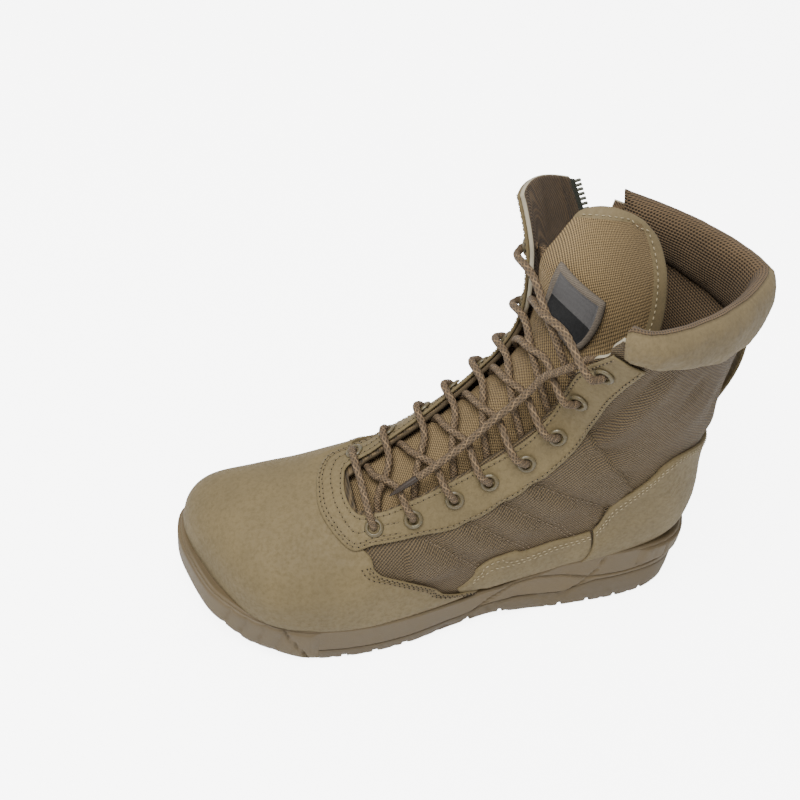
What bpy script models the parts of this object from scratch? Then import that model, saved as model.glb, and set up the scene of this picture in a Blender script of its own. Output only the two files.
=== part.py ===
"""A left combat boot: lasted upper, overlays, laces, side zip and cup sole.

Metres, +Z up, toe to -X, outer side to -Y.
"""
import math

import bmesh
import bpy
from mathutils import Vector

# Driving sizes
FOOT = 0.294            # outside length of the upper, toe to heel
BALL = 0.104            # outside width of the upper at the ball
SEAT = 0.028            # height of the upper's underside at the heel
INSTEP = 0.101          # height of the instep where the laces begin
SHAFT_FRONT = 0.240     # height of the shaft's front edge
SHAFT_BACK = 0.218      # height of the shaft's back edge
TOE_CENTRE = 0.040      # height that the toe closes to
TOE_ROUND = 0.052       # length over which the toe's width closes
TOE_RISE = 0.032        # length over which the toe's height closes
WALL = 0.0022           # upper's wall
LEATHER = 0.0014        # thickness of the overlays
GAP = 0.0003            # room between pieces that touch
LAY = 0.0010            # height of an overlay's underside, clear of the upper's facets
RIM = 0.004             # how far the sole stands out beyond the upper
CUP = 0.046             # height of the sole's side at the heel
INSOLE = 0.004
BUMPER = 0.0018         # how far the toe and heel bumpers stand out
COLLAR_PAD = 0.0055     # how far the collar's roll swells out of the upper
TONGUE_PAD = 0.005
EYELET = 0.0053         # outer radius of an eyelet
EYELET_HOLE = 0.0029
EYELETS = 8             # on each side
CORD = 0.0042           # diameter of the lace
LUG = 0.0026            # depth of the grooves between the lugs
ZIP_TEETH = 0.006       # width across the zip's teeth

SOLE_LENGTH = FOOT + 2 * RIM
SOLE_WIDTH = BALL + 2 * RIM
HEEL_X = FOOT / 2 + 0.001
SOLE_HEEL_X = HEEL_X + RIM - 0.001
CENTRE = Vector((0.005, 0.005, 0))     # middle of the finished boot, brought to the origin

# The last: one row for each plane of a fan that turns from the toe, over the instep, up the shaft.
# front, back: distance from the heel back, as shares of FOOT
# rise: front height, 0 to 1 up to INSTEP, 1 to 2 up to SHAFT_FRONT
# lift: back height, 0 to 1 up to SEAT, 1 to 2 up to SHAFT_BACK
# outer, inner: half widths as shares of BALL; widest: where the width is, front to back
# round_front, outer_back, inner_back: powers of the front and of the back's two sides
# middle: sideways shift as a share of BALL
LAST = [
    # front  rise  back   lift  outer inner widest round_front outer_back inner_back middle
    (1.000, 0.64, 1.000, 1.00, 0.40, 0.40, 0.60, 2.3, 4.0, 4.0, 0.22),
    (0.900, 0.69, 0.900, 0.86, 0.53, 0.38, 0.62, 2.4, 4.0, 4.0, 0.10),
    (0.803, 0.77, 0.793, 0.72, 0.54, 0.43, 0.66, 2.4, 4.2, 4.2, 0.03),
    (0.724, 0.88, 0.700, 0.66, 0.53, 0.44, 0.70, 2.3, 4.5, 4.5, 0.01),
    (0.656, 1.00, 0.608, 0.68, 0.49, 0.42, 0.72, 2.2, 4.5, 4.5, 0.00),
    (0.590, 1.10, 0.505, 0.80, 0.46, 0.39, 0.72, 2.2, 4.5, 4.5, 0.01),
    (0.530, 1.21, 0.403, 0.93, 0.435, 0.38, 0.70, 2.2, 4.5, 4.5, 0.02),
    (0.480, 1.33, 0.290, 1.00, 0.415, 0.38, 0.65, 2.2, 4.2, 4.2, 0.02),
    (0.440, 1.45, 0.157, 1.01, 0.41, 0.38, 0.58, 2.2, 3.6, 3.6, 0.02),
    (0.415, 1.56, 0.035, 1.06, 0.42, 0.39, 0.50, 2.2, 2.9, 3.0, 0.03),
    (0.405, 1.66, 0.000, 1.18, 0.46, 0.43, 0.44, 2.2, 2.3, 2.5, 0.03),
    (0.402, 1.75, -0.002, 1.35, 0.50, 0.48, 0.38, 2.2, 1.8, 2.1, 0.03),
    (0.404, 1.83, -0.008, 1.52, 0.54, 0.54, 0.35, 2.2, 1.65, 1.9, 0.03),
    (0.410, 1.89, -0.018, 1.69, 0.58, 0.60, 0.32, 2.2, 1.5, 1.8, 0.03),
    (0.420, 1.95, -0.030, 1.85, 0.61, 0.65, 0.30, 2.2, 1.4, 1.7, 0.03),
    (0.430, 2.00, -0.036, 2.00, 0.64, 0.69, 0.28, 2.2, 1.35, 1.65, 0.03),
]


def clamp(value, low=0.0, high=1.0):
    return max(low, min(high, value))


def between(table, x):
    """Smooth value of a two-column table at x."""
    for (x0, y0), (x1, y1) in zip(table, table[1:]):
        if x <= x1:
            t = clamp((x - x0) / (x1 - x0))
            return y0 + (y1 - y0) * t * t * (3 - 2 * t)
    return table[-1][1]


def spline(rows, share):
    """Point of a smooth curve through evenly spaced rows, share 0 to 1."""
    place = clamp(share) * (len(rows) - 1)
    i = min(int(place), len(rows) - 2)
    t = place - i
    p1, p2 = rows[i], rows[i + 1]
    p0 = rows[i - 1] if i > 0 else [2 * a - b for a, b in zip(p1, p2)]
    p3 = rows[i + 2] if i + 2 < len(rows) else [2 * b - a for a, b in zip(p1, p2)]
    return [b + 0.5 * t * (c - a + t * (2 * a - 5 * b + 4 * c - d + t * (3 * (b - c) + d - a)))
            for a, b, c, d in zip(p0, p1, p2, p3)]


def rise_height(rise):
    return INSTEP * min(rise, 1) + (SHAFT_FRONT - INSTEP) * max(rise - 1, 0)


def lift_height(lift):
    return SEAT * min(lift, 1) + (SHAFT_BACK - SEAT) * max(lift - 1, 0)


def skin(u, v):
    """Outer face of the upper: u from toe to collar, v from -1 (outer) over the front to 1 (inner)."""
    (front, rise, back, lift, outer, inner, widest,
     round_front, outer_back, inner_back, middle) = spline(LAST, u)
    from_toe = max((1 - front) * FOOT, 0)
    close = 1 - max(1 - from_toe / TOE_ROUND, 0) ** 2.2
    squash = math.sqrt(1 - max(1 - from_toe / TOE_RISE, 0) ** 2.2)
    z_front = TOE_CENTRE + (rise_height(rise) - TOE_CENTRE) * squash
    z_back = TOE_CENTRE + (lift_height(lift) - TOE_CENTRE) * squash
    turn = math.pi * abs(v)
    ahead = math.cos(turn) >= 0
    power = round_front if ahead else (outer_back if v < 0 else inner_back)
    along = abs(math.cos(turn)) ** (2 / power)
    across = abs(math.sin(turn)) ** (2 / power)
    depth = widest * (1 - along) if ahead else widest + (1 - widest) * along
    half = -outer if v < 0 else inner
    x = front + (back - front) * depth
    return Vector((HEEL_X - x * FOOT,
                   (middle + half * across * math.sqrt(close)) * BALL,
                   z_front + (z_back - z_front) * depth))


def turned(v):
    """v brought back between -1 and 1, across the back seam."""
    return v - 2 if v > 1 else v + 2 if v < -1 else v


def outward(u, v):
    """Unit normal of the upper's outer face."""
    low, high = max(u - 0.01, 0.004), min(u + 0.01, 1)
    along = skin(high, v) - skin(low, v)
    across = skin(max(u, 0.01), turned(v + 0.01)) - skin(max(u, 0.01), turned(v - 0.01))
    if u < 0.004:
        return Vector((-1, 0, 0))
    return along.cross(across).normalized()


def lifted(u, v, height):
    """A point that far outside the upper's outer face."""
    return skin(u, v) + outward(u, v) * height


# Shop: meshes and materials

COLOURS = {
    "leather": (0.27, 0.205, 0.125, 1), "nylon": (0.16, 0.115, 0.075, 1), "lining": (0.12, 0.08, 0.05, 1),
    "rubber": (0.22, 0.17, 0.105, 1), "lace": (0.15, 0.105, 0.065, 1), "metal": (0.20, 0.17, 0.11, 1),
    "zip": (0.05, 0.05, 0.035, 1), "dark": (0.01, 0.01, 0.01, 1),
}


def material(kind):
    """Shared Principled material in the part's colour."""
    if kind in bpy.data.materials:
        return bpy.data.materials[kind]
    new = bpy.data.materials.new(kind)
    new.use_nodes = True
    shader = new.node_tree.nodes["Principled BSDF"]
    shader.inputs["Base Color"].default_value = COLOURS[kind]
    shader.inputs["Roughness"].default_value = 0.4 if kind == "metal" else 0.8
    shader.inputs["Metallic"].default_value = 0.7 if kind == "metal" else 0.0
    return new


def add(name, mesh, kind, angle=40):
    """Link a bmesh as the object of one sub-part."""
    bmesh.ops.remove_doubles(mesh, verts=mesh.verts, dist=1e-6)
    bmesh.ops.translate(mesh, vec=-CENTRE, verts=mesh.verts)
    bmesh.ops.recalc_face_normals(mesh, faces=mesh.faces)
    data = bpy.data.meshes.new(name)
    mesh.to_mesh(data)
    mesh.free()
    data.shade_smooth()
    data.set_sharp_from_angle(angle=math.radians(angle))
    data.materials.append(material(kind))
    piece = bpy.data.objects.new(name, data)
    bpy.context.scene.collection.objects.link(piece)
    return piece


def guide(piece):
    """Mark a cutter, which isn't a sub-part."""
    piece.hide_render = True
    piece.display_type = "WIRE"
    return piece


def combine(piece, other, operation):
    step = piece.modifiers.new(operation.title(), "BOOLEAN")
    step.operation = operation
    step.solver = "EXACT"
    step.object = guide(other)
    return piece


def shell(outer, inner, keep=None, mesh=None):
    """Closed wall between two grids of points, over the cells that keep(i, j) accepts."""
    mesh = mesh or bmesh.new()
    known = {}

    def corner(side, point):
        key = (side, round(point.x, 6), round(point.y, 6), round(point.z, 6))
        if key not in known:
            known[key] = mesh.verts.new(point)
        return known[key]

    edges = {}
    for i in range(len(outer) - 1):
        for j in range(len(outer[0]) - 1):
            if keep and not keep(i, j):
                continue
            around = ((i, j), (i + 1, j), (i + 1, j + 1), (i, j + 1))
            for side, grid in ((0, outer), (1, inner)):
                loop = []
                for a, b in around:
                    vert = corner(side, grid[a][b])
                    if vert not in loop:
                        loop.append(vert)
                if len(loop) > 2:
                    mesh.faces.new(loop if side == 0 else loop[::-1])
            for (a, b), (c, d) in zip(around, around[1:] + around[:1]):
                ends = (corner(0, outer[a][b]), corner(0, outer[c][d]))
                if ends[0] is not ends[1]:
                    below = (corner(1, inner[a][b]), corner(1, inner[c][d]))
                    edges.setdefault(frozenset(ends), []).append((ends, *below))
    for uses in edges.values():
        if len(uses) == 1:
            (first, second), under, after = uses[0]
            mesh.faces.new((first, under, after, second))
    return mesh


def rings(stack):
    """Closed form through a stack of rings; the first and last are filled with rungs from side to side."""
    mesh = bmesh.new()
    rows = [[mesh.verts.new(point) for point in ring] for ring in stack]
    count = len(rows[0])
    for low, high in zip(rows, rows[1:]):
        for j in range(count):
            k = (j + 1) % count
            mesh.faces.new((low[j], low[k], high[k], high[j]))
    for row in (rows[0], rows[-1]):
        mesh.faces.new((row[0], row[1], row[-1]))
        for j in range(1, count // 2 - 1):
            mesh.faces.new((row[j], row[j + 1], row[count - j - 1], row[count - j]))
        mesh.faces.new((row[count // 2 - 1], row[count // 2], row[count // 2 + 1]))
    return mesh


def tube(points, radius, sides=8):
    """Closed tube through points, with a steady frame."""
    mesh = bmesh.new()
    rows = []
    side = None
    for i, point in enumerate(points):
        ahead = (points[min(i + 1, len(points) - 1)] - points[max(i - 1, 0)]).normalized()
        side = (side or ahead.orthogonal()) - ahead * (side or ahead.orthogonal()).dot(ahead)
        side.normalize()
        other = ahead.cross(side)
        rows.append([mesh.verts.new(point + (side * math.cos(a) + other * math.sin(a)) * radius)
                     for a in (2 * math.pi * k / sides for k in range(sides))])
    for low, high in zip(rows, rows[1:]):
        for j in range(sides):
            mesh.faces.new((low[j], low[(j + 1) % sides], high[(j + 1) % sides], high[j]))
    mesh.faces.new(rows[0][::-1])
    mesh.faces.new(rows[-1])
    return mesh


def turned_profile(profile, centre, axis, steps):
    """Closed ring: a profile of (radius, height) points turned about an axis."""
    mesh = bmesh.new()
    side = axis.orthogonal().normalized()
    other = axis.cross(side)
    rows = []
    for k in range(steps):
        a = 2 * math.pi * k / steps
        arm = side * math.cos(a) + other * math.sin(a)
        rows.append([mesh.verts.new(centre + arm * r + axis * h) for r, h in profile])
    for i, row in enumerate(rows):
        after = rows[(i + 1) % steps]
        for j in range(len(profile)):
            k = (j + 1) % len(profile)
            mesh.faces.new((row[j], row[k], after[k], after[j]))
    return mesh


# Sole

# Outline of the sole, once round from the heel over the outer side: shares of SOLE_LENGTH and SOLE_WIDTH
OUTLINE = [
    # along  across
    (0.000, 0.03), (0.012, -0.16), (0.060, -0.29), (0.155, -0.350), (0.300, -0.365), (0.430, -0.39),
    (0.560, -0.455), (0.680, -0.500), (0.790, -0.485), (0.880, -0.395), (0.950, -0.23), (0.990, 0.00),
    (1.000, 0.20), (0.975, 0.36), (0.900, 0.455), (0.790, 0.470), (0.680, 0.440), (0.560, 0.370),
    (0.430, 0.31), (0.300, 0.315), (0.155, 0.330), (0.050, 0.26),
]
# Heights of the sole's side, as shares of CUP
SIDE = [
    # along tread  split  groove  bite  groove_depth
    (0.00, 0.20, 0.52, 0.62, 0.93, 0.6),
    (0.04, 0.02, 0.50, 0.60, 0.98, 1.0),
    (0.10, 0.00, 0.50, 0.60, 1.00, 1.0),
    (0.20, 0.00, 0.48, 0.59, 1.00, 1.0),
    (0.28, 0.00, 0.33, 0.66, 0.92, 1.0),
    (0.35, 0.05, 0.38, 0.62, 0.78, 1.0),
    (0.42, 0.11, 0.37, 0.50, 0.66, 0.8),
    (0.50, 0.09, 0.26, 0.38, 0.60, 0.3),
    (0.60, 0.00, 0.18, 0.34, 0.57, 0.0),
    (0.78, 0.00, 0.19, 0.36, 0.59, 0.0),
    (0.88, 0.12, 0.32, 0.48, 0.66, 0.0),
    (0.95, 0.26, 0.46, 0.60, 0.75, 0.0),
    (1.00, 0.42, 0.60, 0.72, 0.86, 0.0),
]
SOLE_POINTS = 48        # round the sole
GROOVE = 0.0012         # depth of the groove in the side
# Grooves across the tread, as shares of the length from the heel, and their width
LUG_PLACES = (0.09, 0.15, 0.21, 0.27, 0.40, 0.47, 0.60, 0.66, 0.72, 0.78, 0.84, 0.90, 0.95)
LUG_GROOVE = 0.0034
CUTTER_TALL = 0.02


def column(table, share, index):
    """Smooth value of a table's column at a share of the length."""
    return between([(row[0], row[index]) for row in table], share)


def outline(t):
    """Point of the sole's outline, t from 0 to 1 once round from the heel."""
    count = len(OUTLINE)
    i = int(t * count) % count
    f = t * count - int(t * count)
    p0, p1, p2, p3 = (OUTLINE[(i + k) % count] for k in (-1, 0, 1, 2))
    along, across = (b + 0.5 * f * (c - a + f * (2 * a - 5 * b + 4 * c - d + f * (3 * (b - c) + d - a)))
                     for a, b, c, d in zip(p0, p1, p2, p3))
    return Vector((SOLE_HEEL_X - along * SOLE_LENGTH, across * SOLE_WIDTH, 0))


def along_sole(x):
    return clamp((SOLE_HEEL_X - x) / SOLE_LENGTH)


def bite(x):
    """Height where the sole's side meets the upper."""
    return column(SIDE, along_sole(x), 4) * CUP


def edge(t, out):
    """Point of the outline, moved outwards."""
    step = outline((t + 0.004) % 1) - outline((t - 0.004) % 1)
    return outline(t % 1) + Vector((step.y, -step.x, 0)).normalized() * -out


def side_ring(height, out):
    """A ring round the sole: height(share) and out(share) give its place on the side."""
    ring = []
    for k in range(SOLE_POINTS):
        t = k / SOLE_POINTS
        share = along_sole(outline(t).x)
        point = edge(t, out(share))
        point.z = height(share)
        ring.append(point)
    return ring


def level(index, raise_by=0.0):
    return lambda share: column(SIDE, share, index) * CUP + raise_by


def groove_out(share):
    return -GROOVE * column(SIDE, share, 5)


def lug_cutters():
    """The grooves across the tread, joined in one cutter."""
    mesh = bmesh.new()
    for share in LUG_PLACES:
        x = SOLE_HEEL_X - share * SOLE_LENGTH
        box = bmesh.ops.create_cube(mesh, size=1)["verts"]
        bmesh.ops.scale(mesh, vec=(LUG_GROOVE, SOLE_WIDTH * 1.5, CUTTER_TALL), verts=box)
        top = column(SIDE, share, 1) * CUP + LUG
        bmesh.ops.translate(mesh, vec=(x, 0, top - CUTTER_TALL / 2), verts=box)
    return add("lug_cutter", mesh, "rubber")


def make_sole():
    tread = rings([side_ring(level(1), lambda s: -0.0025), side_ring(level(1, 0.002), lambda s: -0.0005),
                   side_ring(level(2, -0.0012), lambda s: 0.0), side_ring(level(2), lambda s: -0.0008)])
    combine(add("outsole", tread, "rubber"), lug_cutters(), "DIFFERENCE")
    cup = rings([side_ring(level(2, GAP), lambda s: -0.0008), side_ring(level(2, 0.0014), lambda s: 0.0),
                 side_ring(level(3, -0.0012), lambda s: 0.0), side_ring(level(3), groove_out),
                 side_ring(level(3, 0.0012), lambda s: 0.0), side_ring(level(4, -0.0012), lambda s: 0.0),
                 side_ring(level(4), lambda s: -0.001)])
    combine(add("midsole", cup, "rubber"), last_form(), "DIFFERENCE")


FORM_TOP = 0.8          # u of the form's top, above the cup


def last_form():
    """Closed form of the upper's outside with room round it, which hollows the cup."""
    mesh = bmesh.new()
    rows = [[mesh.verts.new(lifted(u, v, 2 * GAP)) for v in upper_v(u)[:-1]]
            for u in upper_stations() if u < FORM_TOP]
    count = len(rows[0])
    for low, high in zip(rows, rows[1:]):
        for j in range(count):
            mesh.faces.new((low[j], low[(j + 1) % count], high[(j + 1) % count], high[j]))
    mesh.faces.new(rows[0])
    mesh.faces.new(rows[-1])
    return add("last_cutter", mesh, "lining")


# Upper

# The throat's two edges and the zip's two edges along the upper: v of each at u
THROAT_OUTER = [(0.00, -0.24), (0.10, -0.20), (0.215, -0.125), (0.26, -0.170), (0.32, -0.190), (0.43, -0.215),
                (0.50, -0.232), (0.67, -0.232), (0.80, -0.290), (0.90, -0.350), (1.00, -0.400)]
THROAT_INNER = [(0.00, 0.16), (0.10, 0.08), (0.215, 0.000), (0.26, 0.035), (0.32, 0.060), (0.43, 0.095),
                (0.50, 0.120), (0.67, 0.155), (0.80, 0.180), (1.00, 0.220)]
ZIP_FRONT = [(0.00, 0.50), (0.80, 0.55), (0.87, 0.55), (1.00, 0.53)]
ZIP_BACK = [(0.00, 0.54), (0.80, 0.59), (0.87, 0.59), (1.00, 0.63)]
HEM = 0.86              # v of the upper's edge underneath
THROAT_START = 0.215    # u of the throat's base
HEM_START, HEM_END = 0.03, 0.585
COLLAR_U = 0.91         # u where the collar's roll begins
FLAP_V = -0.43          # v of the line behind the outer flap
ZIP_OPEN = 0.875        # u down to which the zip is undone

# Cells across the upper between its lines, from the outer hem over the front to the inner hem
UPPER_CELLS = (2, 5, 2, 3, 3, 1, 3, 2)


def upper_lines(u):
    return (-1, -HEM, FLAP_V, between(THROAT_OUTER, u), between(THROAT_INNER, u),
            between(ZIP_FRONT, u), between(ZIP_BACK, u), HEM, 1)


def upper_v(u):
    """Places of the grid's lines across one section, in order."""
    lines = upper_lines(u)
    places = [lines[0]]
    for low, high, cells in zip(lines, lines[1:], UPPER_CELLS):
        places += [low + (high - low) * (k + 1) / cells for k in range(cells)]
    return places


def upper_stations():
    """u of the grid's rows, with the openings' ends among them."""
    marks = [0.0, HEM_START, THROAT_START, HEM_END, ZIP_OPEN, COLLAR_U, 1.0]
    counts = [4, 8, 11, 7, 2, 2]
    stations = [0.0]
    for low, high, count in zip(marks, marks[1:], counts):
        stations += [low + (high - low) * ((k + 1) / count) ** (1.6 if low == 0 else 1) for k in range(count)]
    return stations


def upper_keeps(stations):
    steps = [sum(UPPER_CELLS[:k]) for k in range(len(UPPER_CELLS) + 1)]

    def keep(i, j):
        u = (stations[i] + stations[i + 1]) / 2
        if u > THROAT_START and steps[3] <= j < steps[4]:
            return False
        if HEM_START < u < HEM_END and (j < steps[1] or j >= steps[7]):
            return False
        if u > ZIP_OPEN and steps[5] <= j < steps[6]:
            return False
        return not (u > COLLAR_U and (j < steps[3] or j >= steps[6]))
    return keep


def make_upper():
    stations = upper_stations()
    outer = [[lifted(u, v, 0) for v in upper_v(u)] for u in stations]
    inner = [[lifted(u, v, -WALL) for v in upper_v(u)] for u in stations]
    add("upper", shell(outer, inner, upper_keeps(stations)), "nylon")


def make_insole():
    stations = [0.05 + 0.50 * i / 12 for i in range(13)]
    across = [-0.20 + 0.40 * j / 5 for j in range(6)]
    top, bottom = ([[lifted(u, turned(1 + w), -WALL - 3 * GAP - drop) for w in across] for u in stations]
                   for drop in (INSOLE, 0))
    add("insole", shell(top, bottom), "lining")


# Overlays, laid over the upper from its own function

# The vamp's edge: share of the way from the throat's line to the hem, and u
VAMP_EDGE = [(-1.00, 0.373), (-0.84, 0.361), (-0.65, 0.340), (-0.56, 0.262), (-0.47, 0.199), (-0.34, 0.167),
             (-0.23, 0.156), (-0.12, 0.149), (0.00, 0.151), (0.12, 0.162), (0.26, 0.196), (0.36, 0.257),
             (0.45, 0.332), (0.62, 0.356), (1.00, 0.373)]
# The eyestay from the outer side's top, round the throat's base, to the inner side's top
EYESTAY = [
    # inside u, v   outside u, v
    (0.906, -0.362, 0.900, -0.485), (0.850, -0.322, 0.820, -0.430), (0.760, -0.272, 0.730, -0.385),
    (0.670, -0.240, 0.650, -0.355), (0.570, -0.238, 0.560, -0.347), (0.500, -0.238, 0.490, -0.350),
    (0.430, -0.222, 0.425, -0.347), (0.370, -0.207, 0.360, -0.337), (0.300, -0.187, 0.300, -0.300),
    (0.250, -0.168, 0.235, -0.260), (0.218, -0.138, 0.193, -0.235), (0.207, -0.060, 0.162, -0.060),
    (0.218, 0.015, 0.190, 0.110), (0.250, 0.035, 0.235, 0.140), (0.300, 0.058, 0.300, 0.180),
    (0.370, 0.083, 0.360, 0.217), (0.430, 0.102, 0.425, 0.230), (0.500, 0.124, 0.490, 0.240),
    (0.570, 0.140, 0.560, 0.250), (0.670, 0.160, 0.650, 0.280), (0.760, 0.178, 0.730, 0.330),
    (0.850, 0.194, 0.820, 0.400), (0.925, 0.208, 0.910, 0.490), (0.996, 0.224, 0.996, 0.518),
]
# The counter's upper edge from its front corner to the back seam, on the outer and on the inner side
COUNTER_OUTER = [(0.533, 0.521), (0.577, 0.508), (0.645, 0.545), (0.705, 0.620), (0.752, 0.760),
                 (0.768, 1.000)]
COUNTER_INNER = [(0.545, 0.640), (0.590, 0.625), (0.645, 0.650), (0.700, 0.720), (0.745, 0.830),
                 (0.768, 1.000)]
COUNTER_STATIONS = 11
COUNTER_FRONT = 0.493   # u where the counter meets the sole
RAND_TOP = [(0.362, 0.480), (0.408, 0.495), (0.455, 0.503), (0.495, 0.511), (0.524, 0.522)]
RAND_START = 0.385
SEAM = 0.0027           # room between an overlay and the sole's rim


def search(test, low, high):
    """Where test turns from true to false."""
    for _ in range(24):
        middle = (low + high) / 2
        if test(middle):
            low = middle
        else:
            high = middle
    return low


def above_rim(u, v):
    point = skin(u, v)
    return point.z > bite(point.x) + SEAM


def hem(u, side):
    """v where the upper meets the sole's rim, on the outer (-1) or inner (1) side."""
    return side * search(lambda v: above_rim(u, side * v), 0.3, 1.0)


def heel_u():
    """u where the back seam meets the sole's rim."""
    return search(lambda u: not above_rim(u, 1.0), 0.5, 0.75)


def patch(name, kind, grid, low=LAY, high=LAY + LEATHER):
    """Overlay over a grid of (u, v) places."""
    outer = [[lifted(u, turned(v), high) for u, v in row] for row in grid]
    inner = [[lifted(u, turned(v), low) for u, v in row] for row in grid]
    return add(name, shell(outer, inner), kind)


def strip(rows, along, across):
    """Grid between two edge lines, given as rows of (u, v, u, v)."""
    grid = []
    for i in range(along + 1):
        u0, v0, u1, v1 = spline(rows, i / along)
        grid.append([(u0 + (u1 - u0) * j / across, v0 + (v1 - v0) * j / across) for j in range(across + 1)])
    return grid


def toe_step(share):
    """Stations from the toe, closer together where it rounds."""
    return share ** 1.6


def make_vamp():
    grid = []
    for i in range(12):
        row = []
        for j in range(21):
            share = -1 + 2 * j / 20
            u = between(VAMP_EDGE, share) * toe_step(i / 11)
            row.append((u, abs(share) * hem(u, -1 if share < 0 else 1)))
        grid.append(row)
    patch("vamp", "leather", grid, LAY + 2 * GAP, LAY + 2 * GAP + LEATHER)


def make_counter():
    base = heel_u()
    grid = []
    for side, table in ((-1, COUNTER_OUTER), (1, COUNTER_INNER)):
        half = []
        for i in range(COUNTER_STATIONS + 1):
            share = 1 - (1 - i / COUNTER_STATIONS) ** 1.3
            low_u = COUNTER_FRONT + (base - COUNTER_FRONT) * share
            low_v = 1.0 if i == COUNTER_STATIONS else hem(low_u, 1)
            high_u, high_v = spline(table, share)
            half.append([(low_u + (high_u - low_u) * j / 4, side * (low_v + (high_v - low_v) * j / 4))
                         for j in range(5)])
        grid += half if side < 0 else half[-2::-1]
    patch("heel_counter", "leather", grid, LAY + 3 * GAP, LAY + 3 * GAP + LEATHER)


def make_rands():
    for name, side in (("rand_outer", -1), ("rand_inner", 1)):
        grid = []
        for i in range(9):
            high_u, high_v = spline(RAND_TOP, i / 8)
            low_u = RAND_START + (COUNTER_FRONT - 0.003 - RAND_START) * i / 8
            low_v = hem(low_u, side)
            grid.append([(low_u + (high_u - low_u) * j / 2, low_v + (side * high_v - low_v) * j / 2)
                         for j in range(3)])
        patch(name, "leather", grid)


def make_eyestay():
    patch("eyestay", "leather", strip(EYESTAY, 40, 3))


# Collar

# The roll's section: share of the collar's height, and how far out in shares of COLLAR_PAD
ROLL = [(0.00, 0.06), (0.08, 0.50), (0.32, 0.95), (0.62, 1.00), (0.88, 0.62), (1.04, -0.20), (1.05, -1.00),
        (0.86, -1.65), (0.50, -1.75), (0.18, -1.35), (0.00, -0.55)]
COLLAR_TALL = 0.03


def collar_point(v, share, out):
    u = COLLAR_U + 0.0008 + (1 - COLLAR_U) * min(share, 1)
    return lifted(min(u, 1), turned(v), out * COLLAR_PAD) + Vector((0, 0, max(share - 1, 0) * COLLAR_TALL))


def make_collar():
    start, end = -0.405, -2 + 0.645
    mesh = bmesh.new()
    rows = []
    for i in range(25):
        v = start + (end - start) * i / 24
        rows.append([mesh.verts.new(collar_point(v, share, out)) for share, out in ROLL])
    count = len(ROLL)
    for low, high in zip(rows, rows[1:]):
        for j in range(count):
            mesh.faces.new((low[j], low[(j + 1) % count], high[(j + 1) % count], high[j]))
    mesh.faces.new(rows[0])
    mesh.faces.new(rows[-1])
    add("collar", mesh, "leather")


# Tongue

TONGUE_START, TONGUE_CLIMB = 0.185, 0.77     # u at the tongue's root, and its growth along the tongue
TONGUE_WIDE = [(0.0, 0.17), (0.2, 0.195), (0.5, 0.235), (1.0, 0.25)]
TONGUE_LINE = -0.06     # v of the tongue's middle under the laces
TONGUE_EDGE_DROP, TONGUE_DROP = 0.0062, 0.0100
TONGUE_FREE = [(0.0, 0.0), (0.47, 0.0), (0.66, 1.0), (1.0, 1.0)]
# Above the laces the tongue leans back and turns: rows upwards of its outer edge, middle and inner edge,
# x, y, z as shares of FOOT, BALL and SHAFT_FRONT
TONGUE_TOP = [
    (0.105, -0.22, 0.492, 0.058, -0.03, 0.583, 0.055, 0.18, 0.546),
    (0.175, -0.20, 0.600, 0.115, -0.01, 0.667, 0.105, 0.19, 0.638),
    (0.262, -0.20, 0.700, 0.155, -0.03, 0.750, 0.132, 0.23, 0.733),
    (0.325, -0.10, 0.783, 0.183, -0.04, 0.833, 0.138, 0.26, 0.825),
    (0.338, 0.02, 0.887, 0.197, 0.00, 0.900, 0.133, 0.27, 0.896),
    (0.325, 0.14, 0.962, 0.211, 0.09, 0.962, 0.156, 0.27, 0.954),
    (0.292, 0.20, 1.006, 0.228, 0.24, 1.032, 0.188, 0.30, 1.004),
]
# Corners of the patch as share and across: low outer, low inner, high outer, high inner
PATCH = ((0.612, -0.260), (0.672, 0.600), (0.767, -0.167), (0.840, 0.580))
PATCH_CELLS = 5
PATCH_LAY = LAY + 2 * GAP
TOP_FROM = 0.40         # share of the tongue's length where that table begins


def tongue_under(share, across):
    """The tongue where it lies under the laces, inside the upper."""
    drop = TONGUE_EDGE_DROP + (TONGUE_DROP - TONGUE_EDGE_DROP) * (1 - across * across)
    v = TONGUE_LINE + across * between(TONGUE_WIDE, share)
    return lifted(TONGUE_START + TONGUE_CLIMB * share, v, -drop)


def tongue_over(share, across):
    """The tongue where it stands free."""
    ox, oy, oz, mx, my, mz, ix, iy, iz = spline(TONGUE_TOP, (share - TOP_FROM) / (1 - TOP_FROM))
    a, b, c = across * (across - 1) / 2, 1 - across * across, across * (across + 1) / 2
    return Vector(((ox * a + mx * b + ix * c) * FOOT, (oy * a + my * b + iy * c) * BALL,
                   (oz * a + mz * b + iz * c) * SHAFT_FRONT))


def tongue(share, across):
    """Middle of the tongue's thickness: share up its length, across from -1 (outer edge) to 1."""
    free = between(TONGUE_FREE, share)
    if free == 0:
        return tongue_under(share, across)
    if free == 1:
        return tongue_over(share, across)
    return tongue_under(share, across).lerp(tongue_over(share, across), free)


def on_tongue(share, across, height):
    """A point that far out of the tongue's middle, towards the front."""
    s0, s1 = max(share - 0.01, 0), min(share + 0.01, 1)
    a0, a1 = max(across - 0.02, -1), min(across + 0.02, 1)
    up = tongue(s1, across) - tongue(s0, across)
    side = tongue(share, a1) - tongue(share, a0)
    return tongue(share, across) + up.cross(side).normalized() * height


def make_tongue():
    outer, inner = ([[on_tongue(i / 15, -1 + j / 4, side * TONGUE_PAD / 2 * (0.35 if j in (0, 8) else 1))
                      for j in range(9)] for i in range(16)] for side in (1, -1))
    add("tongue", shell(outer, inner), "nylon")


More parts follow.
